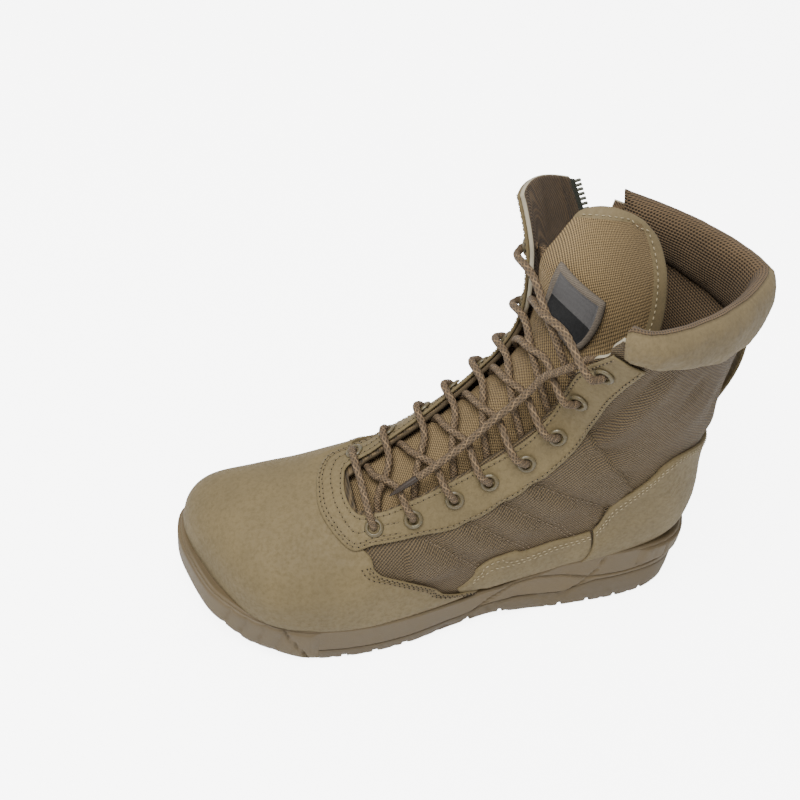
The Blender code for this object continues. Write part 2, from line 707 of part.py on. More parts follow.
def make_tongue_patch():
    """Plain patch sewn to the tongue."""
    low_outer, low_inner, high_outer, high_inner = (Vector(corner) for corner in PATCH)
    places = []
    for i in range(PATCH_CELLS + 1):
        start, end = low_outer.lerp(high_outer, i / PATCH_CELLS), low_inner.lerp(high_inner, i / PATCH_CELLS)
        places.append([start.lerp(end, j / PATCH_CELLS) for j in range(PATCH_CELLS + 1)])
    outer, inner = ([[on_tongue(*place, TONGUE_PAD / 2 + lift) for place in row] for row in places]
                    for lift in (PATCH_LAY + LEATHER, PATCH_LAY))
    add("tongue_patch", shell(outer, inner), "dark")


# Bumpers on the sole's side

TOE_BUMPER = (0.355, 0.665)      # from and to, as shares once round the outline
HEEL_BUMPER = (-0.105, 0.125)


def side_band(name, start, end, low, high, out):
    """Raised band on the side, between two heights, on the sole's own facets."""
    first, last = round(start * SOLE_POINTS), round(end * SOLE_POINTS)
    grids = []
    for stand in (GAP + out, GAP):
        grid = []
        for k in range(first, last + 1):
            t = k / SOLE_POINTS
            share = along_sole(outline(t % 1).x)
            column_points = []
            for step in (0, 0.5, 1):
                point = edge(t, stand)
                point.z = low(share) + (high(share) - low(share)) * step
                column_points.append(point)
            grid.append(column_points)
        grids.append(grid)
    add(name, shell(*grids), "rubber")


def make_bumpers():
    side_band("toe_bumper", *TOE_BUMPER, level(1, 0.0028), level(4, -0.0016), BUMPER)
    side_band("heel_bumper", *HEEL_BUMPER, level(3, 0.0035), level(4, -0.0020), BUMPER)


# Eyelets and laces

EYELET_U = (0.239, 0.301, 0.370, 0.431, 0.497, 0.566, 0.670, 0.812)
EYELET_IN = 0.057       # v from the throat's edge to the eyelets
EYELET_HIGH = 0.0011
EYELET_TOP = LAY + LEATHER + 3 * GAP + EYELET_HIGH
EYELET_STEPS = 7
VENTS = ((0.412, 0.552), (0.462, 0.572))


def eyelet_v(u, side):
    return between(THROAT_OUTER, u) - EYELET_IN if side < 0 else between(THROAT_INNER, u) + EYELET_IN


def ring(name, u, v):
    profile = [(EYELET_HOLE, 0), (EYELET, 0), (EYELET - 0.0008, EYELET_HIGH), (EYELET_HOLE, EYELET_HIGH)]
    seat = lifted(u, v, EYELET_TOP - EYELET_HIGH)
    add(name, turned_profile(profile, seat, outward(u, v), EYELET_STEPS), "metal")


def make_eyelets():
    for side, word in ((-1, "outer"), (1, "inner")):
        for k, u in enumerate(EYELET_U):
            ring(f"eyelet_{word}_{k + 1}", u, eyelet_v(u, side))
    for k, (u, v) in enumerate(VENTS):
        ring(f"vent_eyelet_{k + 1}", u, v)


def throat_v(u, side):
    return between(THROAT_OUTER if side < 0 else THROAT_INNER, u)


LACE_ON_TONGUE = -0.0022    # height of the lace's middle over the tongue
LACE_OVER = EYELET_TOP + CORD / 2 + 0.0005
LACE_SIDES, LACE_STEPS = 5, 8


def lace(route):
    """Tube along (u, v, height) places on the upper."""
    points = [lifted(*spline(route, i / LACE_STEPS)) for i in range(LACE_STEPS + 1)]
    return tube(points, CORD / 2, LACE_SIDES)


def crossing(k, side):
    """A lace from under one edge at eyelet k, over the tongue, into the next eyelet of the other side."""
    u0, u1 = EYELET_U[k], EYELET_U[k + 1]
    start, end = throat_v(u0, side) - side * 0.026, throat_v(u1, -side)
    middle = (throat_v((u0 + u1) / 2, -1) + throat_v((u0 + u1) / 2, 1)) / 2
    return [(u0 + 0.012, start, LACE_ON_TONGUE + 0.0008),
            (u0 + (u1 - u0) * 0.30, (start + middle) / 2, LACE_ON_TONGUE),
            ((u0 + u1) / 2, middle, LACE_ON_TONGUE + 0.0004),
            (u1 - (u1 - u0) * 0.20, (middle + end) / 2 + side * 0.002, LACE_ON_TONGUE + 0.0020),
            (u1 - 0.004, end - side * 0.012, LACE_OVER), (u1, eyelet_v(u1, -side), LACE_OVER)]


def make_laces():
    u = EYELET_U[0]
    outer, inner = throat_v(u, -1), throat_v(u, 1)
    add("lace_bar", lace([(u, eyelet_v(u, -1), LACE_OVER), (u, outer - 0.010, LACE_OVER),
                          (u, (outer + inner) / 2, LACE_OVER - 0.0016), (u, inner + 0.010, LACE_OVER),
                          (u, eyelet_v(u, 1), LACE_OVER)]), "lace")
    for k in range(EYELETS - 1):
        one = add(f"lace_cross_{k + 1}", lace(crossing(k, -1)), "lace")
        combine(one, add(f"lace_cutter_{k + 1}", lace(crossing(k, 1)), "lace"), "UNION")


# The lace's two free ends, from inside the top eyelets: places on the upper, in order
FREE_OUTER = [
    # u     v      height
    (0.810, -0.348, -0.0052), (0.795, -0.325, -0.0056), (0.778, -0.295, -0.0058), (0.762, -0.262, -0.0036),
    (0.735, -0.235, 0.0022), (0.700, -0.205, 0.0058), (0.650, -0.170, 0.0066), (0.580, -0.150, 0.0068),
    (0.500, -0.135, 0.0068), (0.430, -0.138, 0.0068), (0.370, -0.140, 0.0070), (0.328, -0.140, 0.0074),
]
FREE_INNER = [
    (0.812, 0.237, -0.0056), (0.802, 0.232, -0.0062), (0.790, 0.226, -0.0064), (0.775, 0.220, -0.0064),
    (0.758, 0.214, -0.0062), (0.740, 0.208, -0.0060), (0.722, 0.204, -0.0058), (0.702, 0.202, -0.0058),
    (0.680, 0.202, -0.0058), (0.656, 0.204, -0.0058),
]
TIP_LONG, TIP_RADIUS = 0.018, 0.0018


def cord(name, rows, steps):
    """Free length of lace: a round curve through its places."""
    data = bpy.data.curves.new(name, "CURVE")
    data.dimensions = "3D"
    data.bevel_depth = CORD / 2
    data.bevel_resolution = 2
    data.use_fill_caps = True
    line = data.splines.new("POLY")
    line.points.add(steps)
    for i, point in enumerate(line.points):
        point.co = (*(lifted(*spline(rows, i / steps)) - CENTRE), 1)
    data.materials.append(material("lace"))
    piece = bpy.data.objects.new(name, data)
    bpy.context.scene.collection.objects.link(piece)


def make_free_ends():
    cord("lace_end_outer", FREE_OUTER, 18)
    cord("lace_end_inner", FREE_INNER, 14)
    before, last = lifted(*FREE_OUTER[-2]), lifted(*FREE_OUTER[-1])
    ahead = (last - before).normalized()
    start = last + ahead * GAP * 2
    add("lace_tip", tube([start, start + ahead * TIP_LONG], TIP_RADIUS, 8), "dark")


# Zip

ZIP_LOW = 0.548
TAPE_V = 0.030          # v from the zip's line to the tape's edge
SLIDER_U = ZIP_OPEN
SLIDER_WIDE, SLIDER_LONG, SLIDER_HIGH = 0.0090, 0.0110, 0.0034
EAR = 0.0010            # thickness of the slider's two ears
PIN, PIN_ROOM = 0.0007, 0.0004      # radius of the pin between them, and its room in the pull tab
EYE = 0.0020            # radius of the pull tab's eye
PIN_HIGH = SLIDER_HIGH + EYE + 2 * GAP
PULL_WIDE, PULL_THICK = 0.0046, 0.0014
NECK = 0.0045           # length of the pull tab's narrow neck
PLATE_LENGTH, PLATE_WIDE = 0.0175, 0.0084
SHAFT_ROUND = 0.19      # metres round the shaft for one v
SLIDER_SEAT = LAY       # height of the slider's underside
TAPE_THICK = 0.0008
SIDE_TAPE = (0.003, 0.014)          # v from the opening's line to the two edges of a loose side's tape
SIDE_TAPE_HEIGHTS = (-0.0018, 0.0)


TAPE_TOP = ZIP_OPEN - 0.038         # u where the closed tape ends, under the slider
SIDE_START, SIDE_END = ZIP_OPEN + 0.02, 0.996
TEETH_HIGH = 0.0026


def spread(low, high, cells):
    """Even steps from low to high."""
    return [low + (high - low) * i / cells for i in range(cells + 1)]


def zip_v(u):
    return (between(ZIP_FRONT, u) + between(ZIP_BACK, u)) / 2


def make_zip():
    half = ZIP_TEETH / 2 / SHAFT_ROUND
    rows = spread(ZIP_LOW, TAPE_TOP, 12)
    patch("zip_tape", "zip", [[(u, zip_v(u) + w * TAPE_V) for w in (-1, 0, 1)] for u in rows],
          LAY, LAY + TAPE_THICK)
    patch("zip_teeth", "metal", [[(u, zip_v(u) + w * half) for w in (-1, 0, 1)] for u in rows],
          LAY + TAPE_THICK + GAP, LAY + TEETH_HIGH)
    near, far = SIDE_TAPE
    rows = spread(SIDE_START, SIDE_END, 5)
    patch("zip_side_front", "zip", [[(u, between(ZIP_FRONT, u) + w) for w in (near, far)] for u in rows],
          *SIDE_TAPE_HEIGHTS)
    rows = spread(SIDE_START, COLLAR_U, 3)
    patch("zip_side_back", "zip", [[(u, between(ZIP_BACK, u) - w) for w in (far, near)] for u in rows],
          *SIDE_TAPE_HEIGHTS)


def axes_at(u, v):
    """Directions at a place on the upper: across it, up along it, and out of it."""
    out = outward(u, v)
    up = (skin(u + 0.01, v) - skin(u - 0.01, v)).normalized()
    up = (up - out * up.dot(out)).normalized()
    return up.cross(out).normalized(), up, out


def block(mesh, centre, axes, size):
    """Box on the given axes."""
    box = bmesh.ops.create_cube(mesh, size=1)["verts"]
    for vert in box:
        vert.co = centre + sum((axes[k] * (vert.co[k] * size[k]) for k in range(3)), Vector())
    return mesh


def slider_axes():
    """Foot of the slider on the zip, and its directions."""
    v = zip_v(SLIDER_U)
    return lifted(SLIDER_U, v, SLIDER_SEAT), axes_at(SLIDER_U, v)


def pull_frame():
    """Pin of the pull tab, the pin's direction, and the way the tab hangs."""
    foot, (across, up, out) = slider_axes()
    hang = Vector((0, 0, -1))
    return foot + out * PIN_HIGH, across, (hang - across * hang.dot(across)).normalized()


def make_slider():
    foot, axes = slider_axes()
    across, up, out = axes
    pin, across, hang = pull_frame()
    body = block(bmesh.new(), foot + out * SLIDER_HIGH / 2, axes, (SLIDER_WIDE, SLIDER_LONG, SLIDER_HIGH))
    slider = add("zip_slider", body, "metal")
    between_ears = PULL_WIDE + 2 * GAP
    for side, word in ((-1, "front"), (1, "back")):
        place = foot + across * side * (between_ears + EAR) / 2 + out * (SLIDER_HIGH + PIN_HIGH + PIN) / 2
        ear = block(bmesh.new(), place, axes, (EAR, 5 * PIN, PIN_HIGH + 3 * PIN - SLIDER_HIGH + PIN))
        combine(slider, add(f"ear_cutter_{word}", ear, "metal"), "UNION")
    ends = [pin + across * side * (between_ears + EAR) / 2 for side in (-1, 1)]
    combine(slider, add("pin_cutter", tube(ends, PIN, 10), "metal"), "UNION")

    bore = PIN + PIN_ROOM
    profile = [(bore, -PULL_WIDE / 2), (EYE, -PULL_WIDE / 2), (EYE, PULL_WIDE / 2), (bore, PULL_WIDE / 2)]
    pull = add("zip_pull", turned_profile(profile, CENTRE.copy(), across, 14), "metal")
    flat = (across, hang, across.cross(hang))
    top = (EYE + bore) / 2
    pull.location = pin - CENTRE
    for word, start, size in (("neck", top, (PULL_WIDE, NECK + PULL_THICK, PULL_THICK)),
                              ("plate", top + NECK, (PLATE_WIDE, PLATE_LENGTH, PULL_THICK))):
        made = block(bmesh.new(), CENTRE + hang * (start + size[1] / 2), flat, size)
        cutter = add(f"{word}_cutter", made, "metal")
        combine(pull, cutter, "UNION")
        cutter.location = pull.location


# Strap and pull loop

STRAP_LOW, STRAP_HIGH = 0.765, 0.822
STRAP_FRONT, STRAP_BACK = 0.40, 0.78
STRAP_THICK = 0.0018
STRAP_SWELL, STRAP_SWELL_WIDE = 0.0012, 0.045       # height over the zip's teeth, and v on each side of them
LOOP_LOW, LOOP_HIGH, LOOP_WIDE, LOOP_THICK = 0.80, 0.905, 0.010, 0.0012
LOOP_SWELL = 0.0040
LOOP_STEPS = 8


def make_strap():
    grid_v = spread(STRAP_FRONT, STRAP_BACK, 12)
    rows = [STRAP_LOW, (STRAP_LOW + STRAP_HIGH) / 2, STRAP_HIGH]
    centre = zip_v(STRAP_LOW)

    def clear(v):
        return STRAP_SWELL * math.exp(-((v - centre) / STRAP_SWELL_WIDE) ** 2)

    over = LAY + LEATHER + GAP
    outer, inner = ([[lifted(u, v, over + clear(v) + lift) for v in grid_v] for u in rows]
                    for lift in (STRAP_THICK, 0))
    add("strap", shell(outer, inner), "leather")


def make_pull_loop():
    """Loop of leather down the back seam, below the collar."""
    outer, inner = [], []
    for i, u in enumerate(spread(LOOP_LOW, LOOP_HIGH, LOOP_STEPS)):
        swell = LOOP_SWELL * math.sin(math.pi * i / LOOP_STEPS)
        middle = lifted(u, 1.0, 2 * GAP + swell)
        out = outward(u, 1.0)
        inner.append([middle + Vector((0, y * LOOP_WIDE / 2, 0)) for y in (-1, 1)])
        outer.append([point + out * LOOP_THICK for point in inner[-1]])
    add("pull_loop", shell(outer, inner), "nylon")


for old in list(bpy.data.objects):
    bpy.data.objects.remove(old)
make_sole()
make_bumpers()
make_upper()
make_insole()
make_vamp()
make_counter()
make_rands()
make_eyestay()
make_collar()
make_tongue()
make_tongue_patch()
make_eyelets()
make_laces()
make_free_ends()
make_zip()
make_slider()
make_strap()
make_pull_loop()
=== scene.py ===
"""The looks of a left combat boot: leather, woven nylon, braided lace, zip and moulded sole."""
import math
from functools import lru_cache
from itertools import product

import bmesh
import bpy
from bpy.props import FloatProperty, FloatVectorProperty, PointerProperty
from mathutils import Matrix, Vector, noise


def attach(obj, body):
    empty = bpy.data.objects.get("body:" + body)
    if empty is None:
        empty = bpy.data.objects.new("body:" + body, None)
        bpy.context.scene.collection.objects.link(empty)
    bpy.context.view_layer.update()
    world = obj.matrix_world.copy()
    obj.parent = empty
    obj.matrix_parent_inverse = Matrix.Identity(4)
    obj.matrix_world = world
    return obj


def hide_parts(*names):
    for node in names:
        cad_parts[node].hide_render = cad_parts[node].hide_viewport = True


bl_info = {
    "name": "Combat boot",
    "version": (1, 0, 0),
    "blender": (4, 5, 0),
    "location": "3D View > Sidebar > Boot",
    "description": "Builds the visible pieces of a combat boot round its solids",
    "category": "Object",
}

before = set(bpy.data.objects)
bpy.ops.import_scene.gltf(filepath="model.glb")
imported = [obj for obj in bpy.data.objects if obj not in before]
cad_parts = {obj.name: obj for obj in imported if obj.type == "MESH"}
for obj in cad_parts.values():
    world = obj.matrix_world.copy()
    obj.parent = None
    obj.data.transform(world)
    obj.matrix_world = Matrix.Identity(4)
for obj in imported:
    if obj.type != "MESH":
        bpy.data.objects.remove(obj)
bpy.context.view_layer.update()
BODY, PULL_BODY = "boot", "pull_tab"

# The boot's driving sizes, as in its solids
FOOT = 0.294            # outside length of the upper, toe to heel
BALL = 0.104            # outside width of the upper at the ball
SEAT = 0.028            # height of the upper's underside at the heel
INSTEP = 0.101          # height of the instep where the laces begin
SHAFT_FRONT = 0.240     # height of the shaft's front edge
SHAFT_BACK = 0.218      # height of the shaft's back edge
TOE_CENTRE = 0.040
TOE_ROUND = 0.052
TOE_RISE = 0.032
WALL = 0.0022
LEATHER = 0.0014
GAP = 0.0003
LAY = 0.0010
RIM = 0.004
CUP = 0.046
COLLAR_PAD = 0.0055
TONGUE_PAD = 0.005
EYELET = 0.0053
EYELET_HOLE = 0.0029
CORD = 0.0042
LUG = 0.0026

SOLE_LENGTH = FOOT + 2 * RIM
SOLE_WIDTH = BALL + 2 * RIM
HEEL_X = FOOT / 2 + 0.001
SOLE_HEEL_X = HEEL_X + RIM - 0.001
CENTRE = Vector((0.005, 0.005, 0))

LAST = [
    # front  rise  back   lift  outer inner widest round_front outer_back inner_back middle
    (1.000, 0.64, 1.000, 1.00, 0.40, 0.40, 0.60, 2.3, 4.0, 4.0, 0.22),
    (0.900, 0.69, 0.900, 0.86, 0.53, 0.38, 0.62, 2.4, 4.0, 4.0, 0.10),
    (0.803, 0.77, 0.793, 0.72, 0.54, 0.43, 0.66, 2.4, 4.2, 4.2, 0.03),
    (0.724, 0.88, 0.700, 0.66, 0.53, 0.44, 0.70, 2.3, 4.5, 4.5, 0.01),
    (0.656, 1.00, 0.608, 0.68, 0.49, 0.42, 0.72, 2.2, 4.5, 4.5, 0.00),
    (0.590, 1.10, 0.505, 0.80, 0.46, 0.39, 0.72, 2.2, 4.5, 4.5, 0.01),
    (0.530, 1.21, 0.403, 0.93, 0.435, 0.38, 0.70, 2.2, 4.5, 4.5, 0.02),
    (0.480, 1.33, 0.290, 1.00, 0.415, 0.38, 0.65, 2.2, 4.2, 4.2, 0.02),
    (0.440, 1.45, 0.157, 1.01, 0.41, 0.38, 0.58, 2.2, 3.6, 3.6, 0.02),
    (0.415, 1.56, 0.035, 1.06, 0.42, 0.39, 0.50, 2.2, 2.9, 3.0, 0.03),
    (0.405, 1.66, 0.000, 1.18, 0.46, 0.43, 0.44, 2.2, 2.3, 2.5, 0.03),
    (0.402, 1.75, -0.002, 1.35, 0.50, 0.48, 0.38, 2.2, 1.8, 2.1, 0.03),
    (0.404, 1.83, -0.008, 1.52, 0.54, 0.54, 0.35, 2.2, 1.65, 1.9, 0.03),
    (0.410, 1.89, -0.018, 1.69, 0.58, 0.60, 0.32, 2.2, 1.5, 1.8, 0.03),
    (0.420, 1.95, -0.030, 1.85, 0.61, 0.65, 0.30, 2.2, 1.4, 1.7, 0.03),
    (0.430, 2.00, -0.036, 2.00, 0.64, 0.69, 0.28, 2.2, 1.35, 1.65, 0.03),
]


def clamp(value, low=0.0, high=1.0):
    return max(low, min(high, value))


def between(table, x):
    """Smooth value of a two-column table at x."""
    for (x0, y0), (x1, y1) in zip(table, table[1:]):
        if x <= x1:
            t = clamp((x - x0) / (x1 - x0))
            return y0 + (y1 - y0) * t * t * (3 - 2 * t)
    return table[-1][1]


def curve(table, x):
    """Round value of a two-column table at x, whatever its spacing."""
    x = clamp(x, table[0][0], table[-1][0])
    i = max(k for k in range(len(table) - 1) if table[k][0] <= x)
    (x0, y0), (x1, y1) = table[i], table[i + 1]
    step = (y1 - y0) / (x1 - x0)
    before = (y0 - table[i - 1][1]) / (x0 - table[i - 1][0]) if i > 0 else step
    after = (table[i + 2][1] - y1) / (table[i + 2][0] - x1) if i + 2 < len(table) else step
    t, span = (x - x0) / (x1 - x0), x1 - x0
    m0, m1 = (before + step) / 2 * span, (step + after) / 2 * span
    return (y0 * (1 + 2 * t) * (1 - t) ** 2 + m0 * t * (1 - t) ** 2
            + y1 * t * t * (3 - 2 * t) + m1 * t * t * (t - 1))


def spline(rows, share):
    """Point of a smooth curve through evenly spaced rows, share 0 to 1."""
    place = clamp(share) * (len(rows) - 1)
    i = min(int(place), len(rows) - 2)
    t = place - i
    p1, p2 = rows[i], rows[i + 1]
    p0 = rows[i - 1] if i > 0 else [2 * a - b for a, b in zip(p1, p2)]
    p3 = rows[i + 2] if i + 2 < len(rows) else [2 * b - a for a, b in zip(p1, p2)]
    return [b + 0.5 * t * (c - a + t * (2 * a - 5 * b + 4 * c - d + t * (3 * (b - c) + d - a)))
            for a, b, c, d in zip(p0, p1, p2, p3)]


def rise_height(rise):
    return INSTEP * min(rise, 1) + (SHAFT_FRONT - INSTEP) * max(rise - 1, 0)


def lift_height(lift):
    return SEAT * min(lift, 1) + (SHAFT_BACK - SEAT) * max(lift - 1, 0)


def turned(v):
    """v brought back between -1 and 1, across the back seam."""
    return v - 2 if v > 1 else v + 2 if v < -1 else v


def skin(u, v):
    """Outer face of the upper: u from toe to collar, v from -1 on the outer side over the front to 1."""
    v = turned(v)
    (front, rise, back, lift, outer, inner, widest, round_front, outer_back, inner_back,
     middle) = spline(LAST, u)
    from_toe = max((1 - front) * FOOT, 0)
    close = 1 - max(1 - from_toe / TOE_ROUND, 0) ** 2.2
    squash = math.sqrt(1 - max(1 - from_toe / TOE_RISE, 0) ** 2.2)
    z_front = TOE_CENTRE + (rise_height(rise) - TOE_CENTRE) * squash
    z_back = TOE_CENTRE + (lift_height(lift) - TOE_CENTRE) * squash
    turn = math.pi * abs(v)
    ahead = math.cos(turn) >= 0
    power = round_front if ahead else (outer_back if v < 0 else inner_back)
    along = abs(math.cos(turn)) ** (2 / power)
    across = abs(math.sin(turn)) ** (2 / power)
    depth = widest * (1 - along) if ahead else widest + (1 - widest) * along
    half = -outer if v < 0 else inner
    x = front + (back - front) * depth
    return Vector((HEEL_X - x * FOOT - CENTRE.x,
                   (middle + half * across * math.sqrt(close)) * BALL - CENTRE.y,
                   z_front + (z_back - z_front) * depth))


def outward(u, v):
    """Unit normal of the upper's outer face."""
    low, high = max(u - 0.01, 0.004), min(u + 0.01, 1)
    along = skin(high, v) - skin(low, v)
    across = skin(max(u, 0.01), v + 0.01) - skin(max(u, 0.01), v - 0.01)
    if u < 0.004:
        return Vector((-1, 0, 0))
    return along.cross(across).normalized()


def lifted(u, v, height):
    """A point that far outside the upper's outer face."""
    return skin(u, v) + outward(u, v) * height


# Creases and soft forms of the shaft: troughs and ridges between two places on the upper

CREASES = [
    # u0    v0      u1     v1     height   width
    (0.900, -0.560, 0.600, -0.362, -0.0030, 0.0046),
    (0.890, -0.600, 0.610, -0.400, 0.0022, 0.0060),
    (0.880, -0.700, 0.585, -0.400, -0.0030, 0.0055),
    (0.860, -0.760, 0.610, -0.470, 0.0020, 0.0070),
    (0.840, -0.860, 0.600, -0.480, -0.0024, 0.0060),
    (0.800, -0.900, 0.660, -0.600, 0.0016, 0.0080),
    (0.300, -0.260, 0.345, -0.420, -0.0006, 0.0060),
    (0.700, 0.420, 0.620, 0.660, -0.0012, 0.0080),
    (0.760, 0.640, 0.660, 0.860, -0.0016, 0.0080),
    (0.640, 0.640, 0.580, 0.900, 0.0010, 0.0090),
]
# The sewn ribs of the outer side, and the same on the inner side
RIBS = [
    # u0    v0      u1     v1
    (0.312, -0.320, 0.378, -0.500), (0.378, -0.340, 0.458, -0.528), (0.436, -0.348, 0.518, -0.548),
    (0.490, -0.348, 0.572, -0.530),
]
REACH_U, REACH_V = 0.1, 0.15    # how far past a crease's ends it is looked at
RIB_WIDE = 0.0013       # from the rib's line to each of its two stitch rows
QUILT = 0.0034          # how far the cloth swells between the ribs


def soft_step(x):
    t = clamp(x)
    return t * t * (3 - 2 * t)


def to_line(u, v, u0, v0, u1, v1):
    """Distance in metres from a place to a line between two places, and how far along it is."""
    a, b, p = skin(u0, v0), skin(u1, v1), skin(u, v)
    line = b - a
    t = (p - a).dot(line) / line.length_squared
    return (p - a - line * clamp(t)).length, t


FLAT_UNDER = 0.030      # how far above the counter's edge the cloth is pressed flat, in u
RAND_V = 0.492          # v of the rand's upper edge


@lru_cache(maxsize=None)
def hem_near(u, side):
    """The hem's v at a rounded u."""
    return abs(hem(u, side))


def clear_cloth(u, v):
    """1 where the cloth lies free, down to 0 where a leather piece presses it flat."""
    side, far = (-1 if v < 0 else 1), abs(v)
    counter = COUNTER_OUTER if side < 0 else COUNTER_INNER
    edge = [(b, a) for a, b in counter[1:]]
    free = 1.0
    if far > edge[0][0]:
        free = soft_step((u - curve(edge, far)) / FLAT_UNDER)
    if 0.2 < u < 0.54:
        free *= soft_step((RAND_V - far) / 0.035)
        free *= soft_step((u - curve(VAMP_EDGE, side * far / hem_near(round(u, 3), side)) - 0.004) / 0.020)
    return free


def relief(u, v):
    """Height of the creases, the quilted ribs and the cloth's slackness at a place on the upper."""
    height, free = 0.0, clear_cloth(u, v)
    if free <= 0:
        return 0.0
    for u0, v0, u1, v1, high, wide in CREASES:
        beside_it = abs(v - (v0 + v1) / 2) < abs(v1 - v0) / 2 + REACH_V
        if beside_it and abs(u - (u0 + u1) / 2) < abs(u1 - u0) / 2 + REACH_U:
            far, t = to_line(u, v, u0, v0, u1, v1)
            fade = soft_step(min(t + 0.15, 1.15 - t) / 0.3)
            height += high * math.exp(-(far / wide) ** 2) * fade
    if 0.28 < u < 0.62 and 0.28 < abs(v) < 0.60:
        nearest = 1.0
        for u0, v0, u1, v1 in RIBS:
            far, t = to_line(u, -abs(v), u0, v0, u1, v1)
            nearest = min(nearest, far)
        inside = soft_step((abs(v) - 0.30) / 0.06) * soft_step((0.56 - abs(v)) / 0.05)
        swell = soft_step((nearest - RIB_WIDE * 0.6) / 0.006) + 0.22 * math.exp(-(nearest / 0.0008) ** 2)
        height += QUILT * inside * (swell - 0.35)
    shaft = soft_step((u - 0.42) / 0.2)
    place = skin(u, v)
    height += shaft * 0.0011 * noise.noise(place * 22) + 0.00025 * noise.noise(place * 70)
    return height * free


# Shop: grids set on a form, tubes and stitches

def plain(name, mesh, *materials):
    """Link a bmesh as an object that rides on the boot."""
    data = bpy.data.meshes.new(name)
    mesh.to_mesh(data)
    mesh.free()
    data.shade_smooth()
    for finish in materials:
        data.materials.append(finish)
    piece = bpy.data.objects.new(name, data)
    bpy.context.scene.collection.objects.link(piece)
    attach(piece, BODY)
    return piece


def grid_form(place, across, along, keep=None, flip=True, paint=None):
    """Grid of cells moved onto a form by place(j, i), with its real lengths as UV.

    keep and paint are asked for each cell: whether it stays, and which material it gets.
    """
    mesh = bmesh.new()
    bmesh.ops.create_grid(mesh, x_segments=across, y_segments=along, size=0.5)
    layer = mesh.loops.layers.uv.new("UVMap")
    cells = {}
    for vert in mesh.verts:
        j, i = round((vert.co.x + 0.5) * across), round((vert.co.y + 0.5) * along)
        cells[vert] = (j, i)
    at = {key: place(*key) for key in cells.values()}
    reach = {}
    middle = across // 2
    for i in range(along + 1):
        reach[middle, i] = 0.0
        for j in range(middle + 1, across + 1):
            reach[j, i] = reach[j - 1, i] + (at[j, i] - at[j - 1, i]).length
        for j in range(middle - 1, -1, -1):
            reach[j, i] = reach[j + 1, i] - (at[j, i] - at[j + 1, i]).length
    climb = {}
    for j in range(across + 1):
        climb[j, 0] = 0.0
        for i in range(1, along + 1):
            climb[j, i] = climb[j, i - 1] + (at[j, i] - at[j, i - 1]).length
    for face in mesh.faces:
        for loop in face.loops:
            key = cells[loop.vert]
            loop[layer].uv = (reach[key], climb[key])
    corner = {face: [min(cells[vert][k] for vert in face.verts) for k in (0, 1)] for face in mesh.faces}
    if paint:
        for face in mesh.faces:
            face.material_index = paint(*corner[face])
    if keep:
        gone = [face for face in mesh.faces if not keep(*corner[face])]
        bmesh.ops.delete(mesh, geom=gone, context="FACES")
    for vert in mesh.verts:
        vert.co = at[cells[vert]]
    bmesh.ops.remove_doubles(mesh, verts=mesh.verts, dist=1e-6)
    if flip:
        bmesh.ops.reverse_faces(mesh, faces=mesh.faces)
    return mesh


def thicken(piece, wall, rim=0, inner=0):
    """Wall inwards from the modelled face, with other materials inside and on its edge if asked for."""
    step = piece.modifiers.new("Wall", "SOLIDIFY")
    step.thickness = wall
    step.offset = -1
    step.use_even_offset = False
    step.material_offset = inner
    step.material_offset_rim = rim
    return piece


def sheet_sides(count, width, edge=0.0012):
    """Shares across a strip, close together near its two edges."""
    step = min(edge / max(width, edge * 4), 0.2)
    inside = [step + (1 - 2 * step) * k / count for k in range(count + 1)]
    return [0.0, step * 0.35] + inside + [1 - step * 0.35, 1.0]


def on_upper(rows, count):
    """Curve through (u, v, height) places on the upper."""
    return [lifted(*spline(rows, i / count)) for i in range(count + 1)]


def tube(name, points, radius, finish, sides=3, taper=None):
    """Round tube along points, made with a bevelled curve, with real lengths as UV."""
    data = bpy.data.curves.new(name, "CURVE")
    data.dimensions = "3D"
    data.bevel_depth = radius
    data.bevel_resolution = sides
    data.use_fill_caps = True
    data.twist_mode = "MINIMUM"
    line = data.splines.new("POLY")
    line.points.add(len(points) - 1)
    for k, (point, co) in enumerate(zip(line.points, points)):
        point.co = (*co, 1)
        point.radius = taper(k / (len(points) - 1)) if taper else 1
    bare = bpy.data.objects.new(name, data)
    bpy.context.scene.collection.objects.link(bare)
    solid = bpy.data.meshes.new_from_object(bare.evaluated_get(bpy.context.evaluated_depsgraph_get()))
    bpy.data.objects.remove(bare)
    length = sum((b - a).length for a, b in zip(points, points[1:]))
    layer = solid.uv_layers[0] if solid.uv_layers else solid.uv_layers.new(name="UVMap")
    for item in layer.data:
        item.uv = (item.uv.x * length, item.uv.y)
    solid.materials.clear()
    solid.materials.append(finish)
    solid.shade_smooth()
    piece = bpy.data.objects.new(name, solid)
    bpy.context.scene.collection.objects.link(piece)
    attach(piece, BODY)
    return piece


STITCH, STITCH_GAP, THREAD = 0.0023, 0.0010, 0.00034
NEEDLE_HOLE = 0.00042   # radius of the dark hole at each stitch's end


